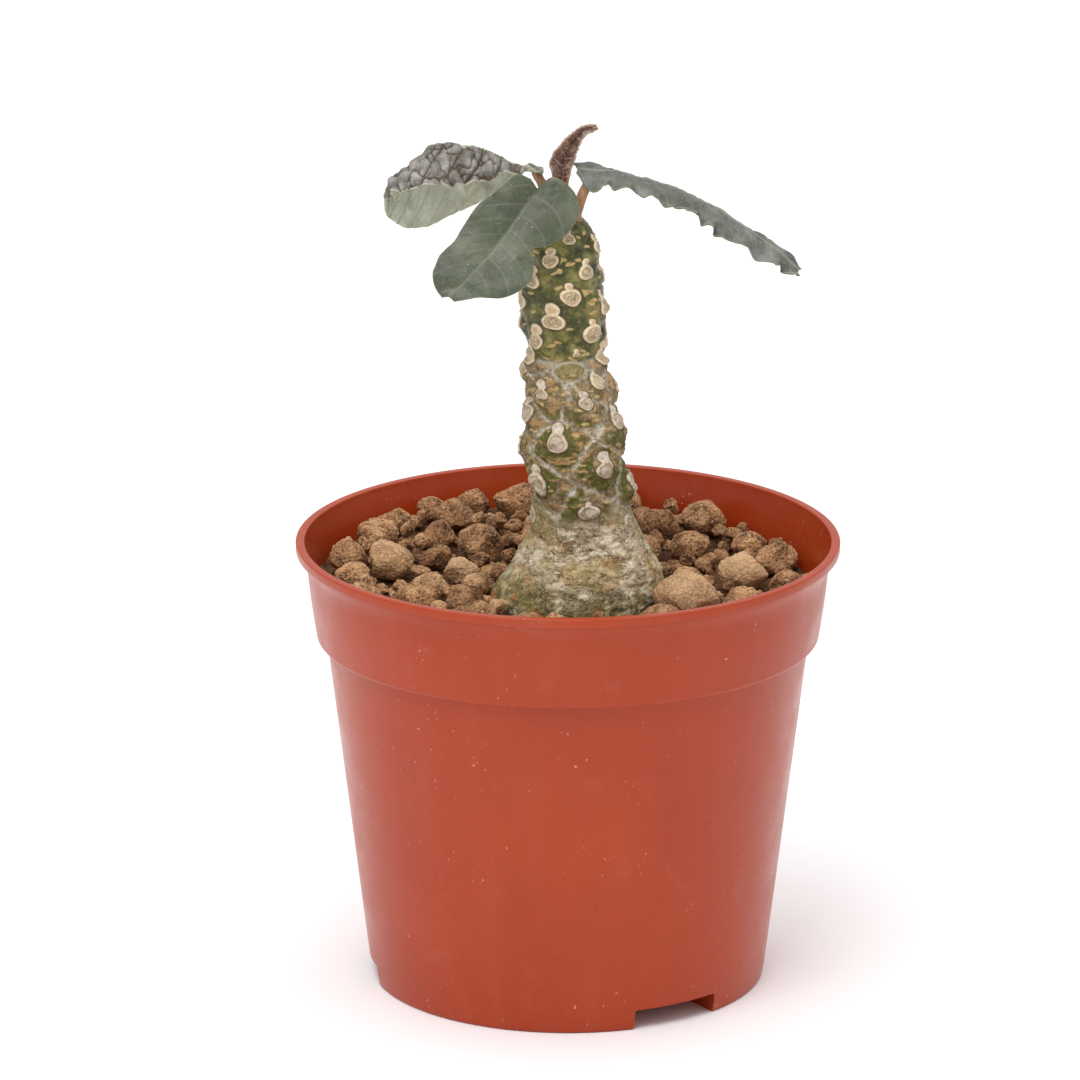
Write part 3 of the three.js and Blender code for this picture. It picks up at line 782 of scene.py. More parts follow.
def scarPlaces():                         # turn from the front, height, half width and height, bud size, age
    places = []
    heights = np.array(stem["scarHeights"])
    drift = np.array(stem["scarDrift"])
    for index in sorted(set(range(stem["scarCount"])) - set(stem["hiddenScars"])):
        draws = mixedHash(np.array([[index, use] for use in range(5)]), 41)
        turn = stem["scarFirst"] + stem["scarTurn"] * index + np.interp(index, drift[:, 0], drift[:, 1])
        height = np.interp(index, heights[:, 0], heights[:, 1])
        width = 1.3 + 0.5 * min(1, index / 18) + 0.3 * (draws[0] - 0.5)
        tall = width * (0.82 + 0.22 * draws[1] + (0.12 if index > 20 else 0))
        bud = (0.6 + 0.35 * draws[2]) * (1 if index < 50 else 0.4)
        width, tall, bud = stem["oddScars"].get(index, (width, tall, bud))
        turned = math.radians((turn + 180) % 360 - 180)
        places.append((turned, height, width, tall, bud, index / stem["scarCount"]))
    return places


def stemRelief(turn, height, radius, where):          # how far each point is from the scars and furrows, mm
    flat = np.full(turn.shape, 9.0)
    bendAcross, bendUp = (layeredNoise(where, 3.6, 3, seed) * 1.1 for seed in (51, 52))
    nearest, second = flat.copy(), flat.copy()
    scar, bud, age = flat.copy(), flat.copy(), flat * 0
    for angle, level, width, tall, budSize, years in scarPlaces():
        across = ((turn - angle + np.pi) % (2 * np.pi) - np.pi) * radius
        up = height - level
        wobble = 1 + 0.07 * np.sin(np.arctan2(up, across) * 3 + years * 40)
        ring = np.hypot(across / width, up / tall) * wobble
        budUp = up - tall - budSize * 0.55
        budRing = np.hypot(across / (budSize * 1.15), budUp / budSize) * wobble
        apart = np.hypot((across + bendAcross) / 1.15, up + bendUp + 0.7)
        closer = apart < nearest
        second = np.where(closer, nearest, np.minimum(second, apart))
        nearest = np.where(closer, apart, nearest)
        age = np.where(((ring < scar) & (ring < 1.6)) | (budRing < 1.5), years, age)
        scar = np.minimum(scar, ring)
        bud = np.minimum(bud, budRing)
    return scar, bud, age, nearest, second - nearest


def lensPlaces():                         # small lens-shaped pores between the scars
    rows = range(stem["lensCount"])
    draws = mixedHash(np.array([[index, use] for index in rows for use in range(5)]), 77).reshape(-1, 5)
    return [(2 * np.pi * row[0], 20 + 56 * row[1], 0.5 + 0.5 * row[2], 0.22 + 0.2 * row[3], row[4] - 0.5)
            for row in draws]


def makeStem():
    top = stem["sections"][-1][0]
    rootHeight, rootX = stem["sections"][0][:2]
    fineFrom = -2.5                       # rows stand closer from there up
    upper = np.arange(fineFrom, top, stem["rowStep"])
    heights = np.concatenate([np.arange(rootHeight, fineFrom, 1.2), upper, [top]])
    turns = np.linspace(0, 2 * np.pi, stem["columns"], endpoint=False)
    height, turn = np.meshgrid(heights, turns, indexing="ij")
    middleX, radius = stemShape(height)
    unit = np.stack([np.sin(turn), -np.cos(turn), height * 0], axis=-1)
    where = unit * radius[..., None] + np.stack([middleX, middleX * 0, height], axis=-1)
    scar, bud, age, nearest, edge = stemRelief(turn, height, radius, where)
    greenFrom, caudexBelow = stem["greenFrom"], stem["caudexBelow"]
    corky = 1 - ease(greenFrom - 0.7, greenFrom + 0.9, height + 0.5 * layeredNoise(where, 3, 2, 9))
    caudex = 1 - ease(caudexBelow - 4, caudexBelow + 3, height + 1.6 * layeredNoise(where, 4, 2, 8))
    swell = 0.75 + 0.25 * corky
    relief = swell * np.exp(-(nearest / stem["tubercle"]) ** 2) * (1 - caudex)
    lumps = 0.25 * layeredNoise(where, 5.5, 2, 2) + 0.38 * layeredNoise(where * (1, 1, 1.4), 2.6, 2, 4)
    relief += (1 - caudex) * lumps
    groove = np.exp(-(edge / stem["groove"]) ** 2) * (1 - caudex)
    relief -= groove * (0.12 + 0.4 * corky)
    disc = 1 - ease(0.86, 1.08, scar)
    dished = stem["scarLift"] - stem["scarHollow"] * (1 - ease(0.45, 0.75, scar))
    relief += disc * dished * (1 - 0.6 * caudex)
    relief += (1 - ease(0.6, 1.1, bud)) * stem["budLift"] * (1 - 0.7 * caudex)
    relief += disc * 0.08 * layeredNoise(where, 0.7, 2, 3)
    lens = np.full(turn.shape, 9.0)
    for angle, level, width, tall, tilt in lensPlaces():
        across = ((turn - angle + np.pi) % (2 * np.pi) - np.pi) * radius
        up = height - level - across * tilt * 0.7
        lens = np.minimum(lens, np.hypot(across / width, up / tall))
    lens = np.where((scar < 1.25) | (bud < 1.3), 9.0, lens)
    relief += (1 - ease(0.5, 1.1, lens)) * stem["poreLift"] * (1 - caudex)
    warped = where + 1.1 * np.stack([layeredNoise(where, 2.4, 2, seed) for seed in (61, 62, 63)], axis=-1)
    weave = (((1, 1, 1.7), 3.4, 64), ((1, 1, 1.0), 2.2, 65), ((1.2, 1.2, 1), 1.5, 66))  # stretch, size, seed
    seams = [np.exp(-(softNoise(warped * stretch, size, seed) / 0.075) ** 2) for stretch, size, seed in weave]
    seamed = ease(-0.35, 0.35, layeredNoise(where, 5, 2, 15))
    plates = np.clip(seams[0] * 0.9 + seams[1] * 0.7 * seamed + seams[2] * 0.5 * seamed, 0, 1)
    wrinkle = layeredNoise(warped * (1, 1, 3.0), 5.0, 3, 12)
    fine = layeredNoise(where, 0.9, 3, 13)
    relief += caudex * (stem["wrinkle"] * wrinkle + stem["skinRough"] * fine - stem["crack"] * plates)
    relief += caudex * stem["swelling"] * layeredNoise(where * (1, 1, 1.4), 8, 1, 19)
    torn = ease(0.25, 0.6, layeredNoise(warped * (1, 1, 2.6), 2.6, 3, 71)) * (1 - caudex) * corky
    relief += 0.16 * torn + corky * (1 - caudex) * 0.14 * layeredNoise(where, 0.8, 2, 14) + 0.02 * fine
    spin, level, wide, tall = stem["shield"]
    across = ((turn - math.radians(spin) + np.pi) % (2 * np.pi) - np.pi) * radius
    shield = np.abs(across / wide) ** 1.6 + np.abs((height - level) / tall) ** 1.6
    relief += stem["shieldLift"] * (1 - ease(0.85, 1.15, shield))
    fromRing = height - greenFrom - 0.4 * layeredNoise(where, 3, 2, 9)
    ringLine = np.exp(-(fromRing / stem["ringWidth"]) ** 2)
    relief -= ringLine * stem["ringDepth"]
    relief *= ease(top + 0.2, top - 1.6, height) * 0.85 + 0.15
    body = radius + relief
    base = growingTip[2] - stem["soilHeight"]
    middleY = growingTip[1]
    points = np.stack([middleX + np.sin(turn) * body, middleY - np.cos(turn) * body, base + height], axis=-1)
    root = [rootX, middleY, base + rootHeight]
    crown = [growingTip[0] + 0.1, middleY, growingTip[2] + 0.5]
    points = np.vstack([points.reshape(-1, 3), [root, crown]])
    painted = {                           # values on the stem's points, then at the root's end and the crown
        "scar": (scar, 9, 9), "bud": (bud, 9, 9), "age": (age, 0, 0), "edge": (edge, 9, 9),
        "corky": (corky, 1, 0), "caudex": (caudex, 1, 0), "lens": (lens, 9, 9), "crack": (plates, 0, 0),
        "above": (height, rootHeight, top), "wrinkle": (wrinkle, 0, 0), "ringLine": (ringLine, 0, 0),
        "torn": (torn, 0, 0), "shield": (shield, 9, 9),
    }
    marks = {key: np.append(values, (atRoot, atCrown)) for key, (values, atRoot, atCrown) in painted.items()}
    makePiece("scarred_stem", points, closedTube(*height.shape), [stemBark()], ["stem"], marks=marks)


def stemBark():
    material, tree, shader, place = newMaterial("living_bark")
    scar, bud, age, edge = marksOf(tree, "scar", "bud", "age", "edge")
    corky, caudex, lens, crack = marksOf(tree, "corky", "caudex", "lens", "crack")
    above, wrinkle, ringLine, torn, shield = marksOf(tree, "above", "wrinkle", "ringLine", "torn", "shield")
    broad = grain(tree, place, 3.5, 4, 0.6)
    fine = grain(tree, place, 0.7, 4, 0.65)
    dust = grain(tree, place, 0.35, 2, 0.5)
    notCaudex = sums(tree, "SUBTRACT", 1.0, caudex)
    green = shades(tree, broad, (0.36, 0.5, 0.64), bark["green"])
    green = wash(tree, band(tree, fine, 0.5, 0.72, 0, 0.5), green, bark["greenWorn"])
    brown = shades(tree, fine, (0.3, 0.5, 0.7), bark["brown"])
    olive = shades(tree, fine, (0.3, 0.55, 0.8), bark["olive"])
    inside = times(tree, band(tree, edge, 0.7, 2.0), band(tree, broad, 0.40, 0.52))
    inside = times(tree, inside, band(tree, above, 46, 36, 0.25, 1.0))
    middle = blendColours(tree, inside, brown, olive)
    flake = shades(tree, dust, (0.3, 0.6), bark["flake"])
    middle = blendColours(tree, times(tree, torn, 0.75), middle, flake)
    pale = shades(tree, fine, (0.3, 0.65), bark["furrow"])
    patchy = times(tree, band(tree, dust, 0.25, 0.55, 0.4, 1.0), band(tree, broad, 0.36, 0.56, 0.35, 1.0))
    inGroove = times(tree, band(tree, edge, 1.2, 0.3), patchy)
    middle = blendColours(tree, inGroove, middle, pale)
    # painted shade: the green is darkened along the sunk grooves between the tubercles
    green = wash(tree, times(tree, band(tree, edge, 0.5, 0.1), 0.35), green, bark["grooveShade"])
    colour = blendColours(tree, corky, green, middle)
    colour = wash(tree, times(tree, ringLine, 0.75), colour, bark["ring"])
    plate = shades(tree, fine, (0.3, 0.55, 0.75), bark["shield"])
    colour = blendColours(tree, band(tree, shield, 1.1, 0.95), colour, plate)
    outline = times(tree, band(tree, shield, 0.85, 1.0), band(tree, shield, 1.4, 1.1))
    colour = wash(tree, times(tree, outline, 0.8), colour, bark["shieldEdge"])
    region = grain(tree, place, 9, 2, 0.5, (1, 1, 1.5))
    streak = grain(tree, place, 3.0, 6, 0.72, (1, 1, 2.6))
    silver = shades(tree, streak, (0.32, 0.45, 0.62), bark["silver"])
    straw = shades(tree, streak, (0.30, 0.46, 0.66), bark["straw"])
    skin = blendColours(tree, band(tree, region, 0.42, 0.58), silver, straw)
    mossy = times(tree, band(tree, above, 10.5, 2.5), band(tree, broad, 0.34, 0.54))
    moss = shades(tree, fine, (0.35, 0.65), bark["moss"])
    skin = blendColours(tree, times(tree, mossy, 0.85), skin, moss)
    # painted shade: the caudex skin is darkened where the wrinkle relief sinks
    skin = wash(tree, band(tree, wrinkle, -0.2, -0.8, 0, 0.45), skin, bark["foldShade"])
    twist = put(tree, "ShaderNodeMapping", {"Vector": place, "Scale": (1, 1, 1.5)}).outputs[0]
    seam = 0.0
    for size, width in ((3.2, 0.018), (1.9, 0.024)):
        winding = {"Vector": twist, "Scale": 1 / (size * mm), "Detail": 2.5, "Distortion": 1.4}
        lines = put(tree, "ShaderNodeTexNoise", winding).outputs[0]
        lines = sums(tree, "ABSOLUTE", sums(tree, "SUBTRACT", lines, 0.5))
        seam = sums(tree, "MAXIMUM", seam, band(tree, lines, width, width * 0.25, 0, 0.5 + 0.1 * size))
    seam = sums(tree, "MAXIMUM", seam, times(tree, crack, 0.35))
    seam = times(tree, seam, band(tree, broad, 0.40, 0.5, 0.15, 1.0))
    skin = wash(tree, seam, skin, bark["crack"])
    rust = grain(tree, place, 4.2, 3, 0.5, (1, 1, 1.4))
    low = times(tree, band(tree, rust, 0.56, 0.64), band(tree, above, 7, 1, 0.35, 1.0))
    skin = wash(tree, times(tree, low, 0.75), skin, bark["rust"])
    colour = blendColours(tree, caudex, colour, skin)
    pore = times(tree, times(tree, band(tree, lens, 1.15, 0.7), notCaudex), 0.85)
    colour = blendColours(tree, pore, colour, shades(tree, fine, (0.35, 0.65), bark["pore"]))
    aboveRoot = band(tree, caudex, 0.8, 0.2)
    halo = times(tree, band(tree, scar, 1.36, 1.05), aboveRoot)
    colour = wash(tree, times(tree, halo, 0.7), colour, bark["scarHalo"])
    budHalo = times(tree, band(tree, bud, 1.4, 1.05), aboveRoot)
    colour = wash(tree, times(tree, budHalo, 0.6), colour, bark["budHalo"])
    cork = shades(tree, fine, (0.28, 0.45, 0.7), bark["cork"])
    oldCork = shades(tree, fine, (0.3, 0.45, 0.7), bark["oldCork"])
    cork = blendColours(tree, band(tree, age, 0.5, 0.72), cork, oldCork)
    heart = times(tree, band(tree, scar, 0.68, 0.5), band(tree, dust, 0.40, 0.56, 0.2, 0.85))
    heart = times(tree, heart, band(tree, age, 0.62, 0.3, 0.35, 1.0))
    cork = wash(tree, heart, cork, bark["heart"])
    line = times(tree, band(tree, scar, 0.56, 0.66), band(tree, scar, 0.80, 0.70))
    cork = wash(tree, times(tree, line, 0.7), cork, bark["scarLine"])
    onScar = times(tree, band(tree, scar, 1.06, 0.96), band(tree, caudex, 1.0, 0.35, 0.35, 1.0))
    young = band(tree, age, 0.6, 0.4)
    budCork = wash(tree, times(tree, young, band(tree, bud, 0.75, 0.3)), cork, bark["bud"])
    onBud = times(tree, band(tree, bud, 1.08, 0.96), band(tree, caudex, 0.6, 0.2))
    colour = blendColours(tree, onBud, colour, budCork)
    colour = blendColours(tree, onScar, colour, cork)
    wire(tree, shader, colour=colour, roughness=band(tree, corky, 0, 1, 0.38, 0.8))
    shader.inputs["Specular IOR Level"].default_value = 0.4
    height = sums(tree, "ADD", times(tree, fine, 0.8), times(tree, dust, 0.5))
    height = sums(tree, "ADD", height, times(tree, times(tree, seam, caudex), -0.8))
    raised(tree, shader, height, 0.25, 0.8)
    return material


makeStem()
print("stem made")


plainFinish = {                           # what a leaf's own finish may change; sizes in mm
    "patch": 7, "hollow": None, "hollowWidth": 0.5, "hollowShare": 0.75, "veinShare": 0.5, "veinWidth": 0.25,
    "netShare": 0.5, "rim": 0.28, "rimShare": 0.8, "rimColour": (196, 192, 168), "specks": 0.7,
    "speckSize": 0.5, "speck": (226, 228, 220), "underVein": (150, 158, 122), "base": None,
    "gloss": 0.5, "specular": 0.35, "meshBump": 0.5,
}
leafFront = {
    "node": "leaf_front", "piece": "front_leaf", "slot": "leaf",
    "rows": 170, "halfColumns": 48, "thickness": 0.75, "crown": 0.2,
    "ribs": [                              # midrib, upper edge, lower edge, in mm from the growing tip
        [(-4.3, -4.6, 6.8), (-5.6, -4.5, 8.9), (-3.0, -4.4, 8.2)],
        [(-4.9, -5.1, 6.0), (-8.4, -5.0, 9.8), (-0.6, -4.5, 9.0)],
        [(-5.8, -6.0, 5.0), (-11.4, -6.5, 7.6), (2.6, -5.2, 6.4)],
        [(-6.9, -7.2, 3.6), (-13.4, -7.6, 6.4), (3.6, -7.0, 2.8)],
        [(-8.2, -8.5, 2.0), (-15.3, -8.7, 5.1), (1.2, -9.0, -0.8)],
        [(-9.7, -10.0, 0.2), (-17.0, -9.9, 3.2), (-2.2, -10.4, -2.7)],
        [(-11.2, -11.4, -1.5), (-18.6, -11.0, 0.9), (-5.6, -11.6, -3.2)],
        [(-12.6, -12.8, -3.0), (-19.9, -12.2, -1.1), (-4.9, -13.4, -5.2)],
        [(-14.0, -14.0, -4.4), (-21.8, -13.5, -2.7), (-5.2, -15.2, -7.2)],
        [(-15.6, -15.4, -5.8), (-23.3, -14.9, -4.6), (-7.2, -17.2, -9.4)],
        [(-17.4, -16.8, -7.3), (-23.9, -16.4, -7.2), (-11.0, -18.6, -10.8)],
        [(-19.4, -18.0, -9.0), (-23.4, -17.6, -9.2), (-15.6, -19.2, -10.4)],
        [(-21.0, -18.9, -10.3), (-22.2, -18.6, -10.6), (-19.9, -19.5, -11.2)],
    ],
    "petiole": [(-1.3, -2.9, -0.9), (-2.4, -4.4, 3.6), (-3.9, -5.2, 6.3)], "petioleSize": (1.0, 0.8),
    "veins": 7, "veinSlope": 0.22, "quilt": 0.12, "cell": 2.6, "crisp": 0.2, "waves": 4, "ruffle": 0.08,
    "billow": 0.6, "facing": 1, "stray": 0.01, "farCalm": 1.0, "farQuilt": 1.0,
    "finish": {
        "skin": "front_leaf_skin", "top": ((56, 62, 43), (74, 80, 59), (98, 103, 83)),
        "under": (150, 156, 130), "vein": (150, 153, 132),
        "patch": 8, "veinShare": 0.14, "veinWidth": 0.24, "netShare": 0.1,
        "specks": 0.4, "speckSize": 0.26, "gloss": 0.40, "specular": 0.5, "meshBump": 0.3,
        "rimColour": (140, 146, 118), "rimShare": 0.4,
    },
}
leafLeft = {
    "node": "leaf_left", "piece": "left_leaf", "slot": "leaf",
    "rows": 240, "halfColumns": 72, "thickness": 0.6, "crown": 0.3,
    "ribs": [                              # midrib, near edge, far edge
        [(-3.2, 1.8, 8.6), (-3.0, 0.6, 9.2), (-3.2, 3.4, 9.0)],
        [(-5.8, 3.0, 9.0), (-6.2, 0.6, 9.2), (-6.0, 5.6, 7.6)],
        [(-9.4, 5.0, 10.0), (-9.9, 1.2, 8.6), (-9.9, 9.2, 4.2)],
        [(-14.9, 6.8, 11.8), (-14.4, -0.2, 7.2), (-14.2, 12.0, 0.2)],
        [(-19.9, 7.5, 12.6), (-19.9, -1.0, 6.6), (-20.4, 13.0, -3.0)],
        [(-25.4, 7.5, 11.0), (-24.9, -0.5, 6.0), (-27.4, 12.0, -5.4)],
        [(-29.6, 7.0, 8.0), (-29.9, 1.5, 4.4), (-31.6, 10.6, -3.6)],
        [(-32.8, 6.4, 3.4), (-33.4, 4.6, 2.2), (-33.2, 7.8, -0.6)],
    ],
    "petiole": [(-2.6, 1.1, -0.9), (-2.8, 1.4, 4.6), (-4.6, 2.4, 8.4)], "petioleSize": (1.1, 0.95),
    "veins": 8, "veinSlope": 0.2, "quilt": 2.4, "cell": 3.1, "crisp": 0.7, "waves": 6, "ruffle": 0.5,
    "billow": 1.1, "facing": -1, "stray": 0.035, "farCalm": 0.4, "farQuilt": 0.35,
    "finish": {
        "skin": "left_leaf_skin", "top": ((82, 77, 66), (118, 113, 106), (164, 159, 157)),
        "under": (196, 199, 184), "vein": (100, 84, 62),
        # the dark brown hollow colour is partly the leaf's own brown and partly painted shade in the sunk
        # lines between the puffs
        "patch": 3.2, "hollow": (74, 58, 38), "hollowWidth": 0.6, "hollowShare": 0.85,
        "veinShare": 0.15, "netShare": 0.3, "specks": 0.4, "speckSize": 0.36, "gloss": 0.42,
        "underVein": (166, 174, 140), "rimColour": (190, 184, 164),
    },
}
leafRight = {
    "node": "leaf_right", "piece": "right_leaf", "slot": "leaf",
    "rows": 240, "halfColumns": 48, "thickness": 0.6, "crown": 0.24,
    "ribs": [                              # midrib, near edge, far edge
        [(3.4, 0.2, 9.6), (3.0, -1.4, 9.0), (2.4, 1.6, 10.4)],
        [(5.6, 0.0, 9.2), (5.0, -3.2, 6.8), (5.2, 2.4, 10.0)],
        [(8.0, 0.0, 9.0), (7.6, -3.9, 6.4), (8.2, 3.4, 9.0)],
        [(11.1, 0.0, 8.7), (9.8, -4.0, 7.2), (11.4, 4.2, 7.0)],
        [(17.1, -0.2, 7.1), (16.1, -5.2, 5.7), (18.1, 4.8, 4.8)],
        [(26.1, -0.6, 3.9), (24.5, -6.0, 2.3), (27.1, 4.8, 1.4)],
        [(34.6, -1.0, -1.4), (32.6, -6.2, -3.0), (35.4, 4.2, -3.6)],
        [(41.2, -1.4, -6.2), (39.8, -4.6, -7.7), (42.6, 1.6, -6.6)],
        [(45.4, -1.6, -9.9), (44.8, -2.4, -10.5), (46.0, -0.8, -9.8)],
    ],
    "petiole": [(2.8, -0.8, -0.9), (3.9, -0.6, 3.6), (6.0, -0.1, 8.4)], "petioleSize": (1.0, 0.95),
    "veins": 9, "veinSlope": 0.1, "quilt": 0.35, "cell": 2.8, "crisp": 1.5, "waves": 7.5, "ruffle": 1.25,
    "billow": 0.3, "facing": 1, "stray": 0.012, "farCalm": 0.25, "farQuilt": 1.0,
    "finish": {
        "skin": "right_leaf_skin", "top": ((68, 71, 62), (96, 98, 90), (134, 134, 129)),
        "under": (104, 108, 84), "vein": (150, 153, 140),
        "patch": 5, "veinShare": 0.28, "netShare": 0.15, "specks": 0.35,
        "speckSize": 0.3, "rimColour": (150, 150, 126), "rimShare": 0.5, "rim": 0.15, "gloss": 0.42,
        "underVein": (130, 138, 104),
    },
}
leafYoung = {
    "node": "leaf_young", "piece": "young_leaf", "slot": "young_leaf",
    "rows": 120, "halfColumns": 36, "thickness": 0.45, "crown": 0.3,
    "ribs": [                              # midrib, left edge, right edge
        [(0.2, 0.8, 3.6), (-0.8, 0.1, 3.8), (0.9, -0.1, 3.8)],
        [(0.2, 1.4, 7.8), (-1.5, -0.4, 8.4), (1.6, -0.3, 7.8)],
        [(0.7, 1.6, 11.0), (-1.9, -0.6, 11.6), (2.6, -0.4, 11.0)],
        [(2.2, 1.4, 14.2), (0.4, -0.4, 14.9), (3.6, -0.2, 13.8)],
        [(4.2, 0.8, 16.8), (3.2, -0.2, 17.5), (4.9, 0.0, 16.2)],
        [(7.0, 0.2, 17.9), (6.6, -0.1, 18.4), (7.3, -0.1, 17.3)],
    ],
    "petiole": [(0.2, 1.4, -0.6), (0.2, 1.2, 2.2), (0.2, 0.9, 4.6)], "petioleSize": (0.95, 0.7),
    "veins": 8, "veinSlope": 0.12, "quilt": 0.35, "cell": 1.25, "crisp": 0.2, "waves": 6, "ruffle": 0.15,
    "billow": 0.2, "facing": -1, "stray": 0.03, "farCalm": 1.0, "farQuilt": 1.0,
    "finish": {
        "skin": "young_leaf_skin", "top": ((74, 50, 42), (108, 78, 66), (146, 114, 100)),
        "under": (92, 66, 54), "vein": (214, 196, 184),
        "patch": 2, "hollow": (150, 122, 106), "hollowWidth": 0.16, "veinShare": 0.7,
        "veinWidth": 0.11, "netShare": 0.5, "specks": 0.8, "speckSize": 0.3, "base": (150, 60, 26),
        "rimColour": (188, 160, 136), "underVein": (200, 182, 168), "gloss": 0.6,
    },
}
stalk = {
    "rows": 40, "sides": 20, "flatten": 0.85,
    "colours": ((122, 84, 58), (158, 116, 82), (188, 152, 116)), "worn": (206, 184, 156),
}


def leafSheet(leaf):                      # the blade's middle surface with its veins, waves and quilting
    ribs = throughPoints(np.array(leaf["ribs"]), leaf["rows"])
    middle, first, second = ribs[:, 0], ribs[:, 1], ribs[:, 2]
    across = np.linspace(-1, 1, 2 * leaf["halfColumns"] + 1)
    span = np.abs(across)
    edge = np.where((across < 0)[None, :, None], first[:, None, :], second[:, None, :])
    points = middle[:, None, :] * (1 - span)[None, :, None] + edge * span[None, :, None]
    tangent = np.gradient(middle, axis=0)
    up = np.cross(first - middle, tangent) * leaf["facing"]
    up /= np.linalg.norm(up, axis=1, keepdims=True)
    width = np.linalg.norm(edge - middle[:, None, :], axis=2)
    points = points + up[:, None, :] * (leaf["crown"] * span * (1 - span) * width)[..., None]
    steps = np.linalg.norm(np.diff(middle, axis=0), axis=1)
    length = steps.sum()
    along = np.concatenate([[0], np.cumsum(steps)]) / length
    u, v = np.meshgrid(along, across, indexing="ij")
    narrow = np.clip(width / width.max(), 0.15, 1)
    bend = u - leaf["veinSlope"] * np.abs(v) ** 1.3 * narrow
    seed = len(leaf["node"]) + leaf["veins"]
    drift = softNoise(np.stack([u * 4, v * 1.5 + 9], axis=-1), 1.0, seed + 6) * leaf["stray"]
    phase = (bend + drift) * (leaf["veins"] + 0.5) + np.where(v < 0, 0.0, 0.37)
    toVein = np.abs(phase - np.round(phase)) / (leaf["veins"] + 0.5) * length
    toMidrib = np.abs(v) * width
    plane = np.stack([u * length * 1.15, v * width], axis=-1)
    shift = np.stack([layeredNoise(plane, 3, 2, seed), layeredNoise(plane, 3, 2, seed + 1)], axis=-1)
    plane = plane * (1, 0.8) + 0.4 * leaf["cell"] * shift
    firstCell, secondCell = cellNoise(plane, leaf["cell"], seed)
    toNet = (secondCell - firstCell) * 0.5
    tiny = cellNoise(plane, leaf["cell"] * 0.4, seed + 3)
    toMesh = (tiny[1] - tiny[0]) * 0.5
    pillow = np.minimum(np.minimum(toVein * 0.8, toMidrib * 0.9), toNet * 1.5)
    fullness = 0.75 + 0.5 * softNoise(plane, 6, seed + 2)
    puff = (1 - np.exp(-(pillow / (leaf["cell"] * 0.4)) ** 1.1)) * fullness
    height = leaf["quilt"] * puff * np.where(v > 0, leaf["farQuilt"], 1)
    height += leaf["billow"] * layeredNoise(plane, 6.5, 2, seed + 8)
    height *= ease(0, 0.08, u) * ease(0, 0.10, 1 - u) * 0.8 + 0.2
    sway = 3.4 * softNoise(plane, 7, seed + 4)
    wave = np.sin(2 * np.pi * (leaf["waves"] * u + 0.23 * np.sign(v)) + sway)
    margin = np.abs(v) ** 4 * np.where(v > 0, leaf["farCalm"], 1)
    strength = 0.75 + 0.5 * softNoise(plane, 8, seed + 7)
    height = height + leaf["crisp"] * strength * wave * margin * ease(0, 0.06, u)
    outward = edge - middle[:, None, :]
    outward /= np.maximum(np.linalg.norm(outward, axis=2, keepdims=True), 1e-6)
    scallop = np.sin(2 * np.pi * leaf["waves"] * u + 1.1 + np.sign(v) + sway) * 0.8
    frill = leaf["ruffle"] * strength * margin * (scallop + 0.6 * softNoise(plane, 2.2, seed + 5))
    points = points + outward * frill[..., None]
    alongStep = np.gradient(points, axis=0)
    acrossStep = np.gradient(points, axis=1)
    normal = np.cross(acrossStep, alongStep)
    normal /= np.maximum(np.linalg.norm(normal, axis=2, keepdims=True), 1e-9)
    facing = np.sign((normal * up[:, None, :]).sum(axis=2).mean())
    points = points + normal * facing * height[..., None]
    marks = {"vein": np.minimum(toVein / 0.8, 4), "midrib": toMidrib, "net": toNet, "mesh": toMesh,
             "margin": (1 - np.abs(v)) * width, "along": u, "pillow": pillow, "side": v}
    return points, normal * facing, marks


def leafSolid(leaf):                      # the sheet given its thickness, as one closed skin
    points, normal, marks = leafSheet(leaf)
    alongStep, acrossStep = np.gradient(points, axis=0), np.gradient(points, axis=1)
    fresh = np.cross(acrossStep, alongStep)
    fresh /= np.maximum(np.linalg.norm(fresh, axis=2, keepdims=True), 1e-9)
    fresh *= np.sign((fresh * normal).sum())
    rows, columns = points.shape[:2]
    thin = leaf["thickness"] / 2 * (1 - 0.45 * np.abs(marks["side"]) ** 8)
    thin = thin * (0.5 + 0.5 * ease(0, 0.03, marks["along"]) * ease(0, 0.03, 1 - marks["along"]))
    rib = 0.35 * np.exp(-(marks["midrib"] / 0.55) ** 2) * (1 - 0.8 * marks["along"])
    rib = rib + 0.10 * np.exp(-(marks["vein"] / 0.35) ** 2)
    upper = points + fresh * thin[..., None]
    lower = points - fresh * (thin + rib)[..., None]
    count = rows * columns
    skin = np.vstack([upper.reshape(-1, 3), lower.reshape(-1, 3)])
    top = sheetFaces(rows, columns)
    corner, along, beside = (skin[top[:, place]] for place in (0, 1, 3))
    if (np.cross(along - corner, beside - corner) * fresh.reshape(-1, 3)[top[:, 0]]).sum() < 0:
        top = top[:, ::-1]
    bottom = top[:, ::-1] + count
    border = [(0, column) for column in range(columns)]
    border += [(row, columns - 1) for row in range(1, rows)]
    border += [(rows - 1, column) for column in range(columns - 2, -1, -1)]
    border += [(row, 0) for row in range(rows - 2, 0, -1)]
    loop = np.array([row * columns + column for row, column in border])
    follow = np.roll(loop, -1)
    rim = np.stack([loop, follow, follow + count, loop + count], axis=-1)
    edges = {tuple(pair) for face in top[:4 * columns] for pair in zip(face, np.roll(face, -1))}
    if (int(loop[0]), int(follow[0])) in edges:
        rim = rim[:, ::-1]
    faces = np.vstack([top, bottom, rim])
    marks = {key: np.concatenate([values.reshape(-1)] * 2) for key, values in marks.items()}
    marks["upper"] = np.concatenate([np.ones(count), np.zeros(count)])
    return skin, faces, marks


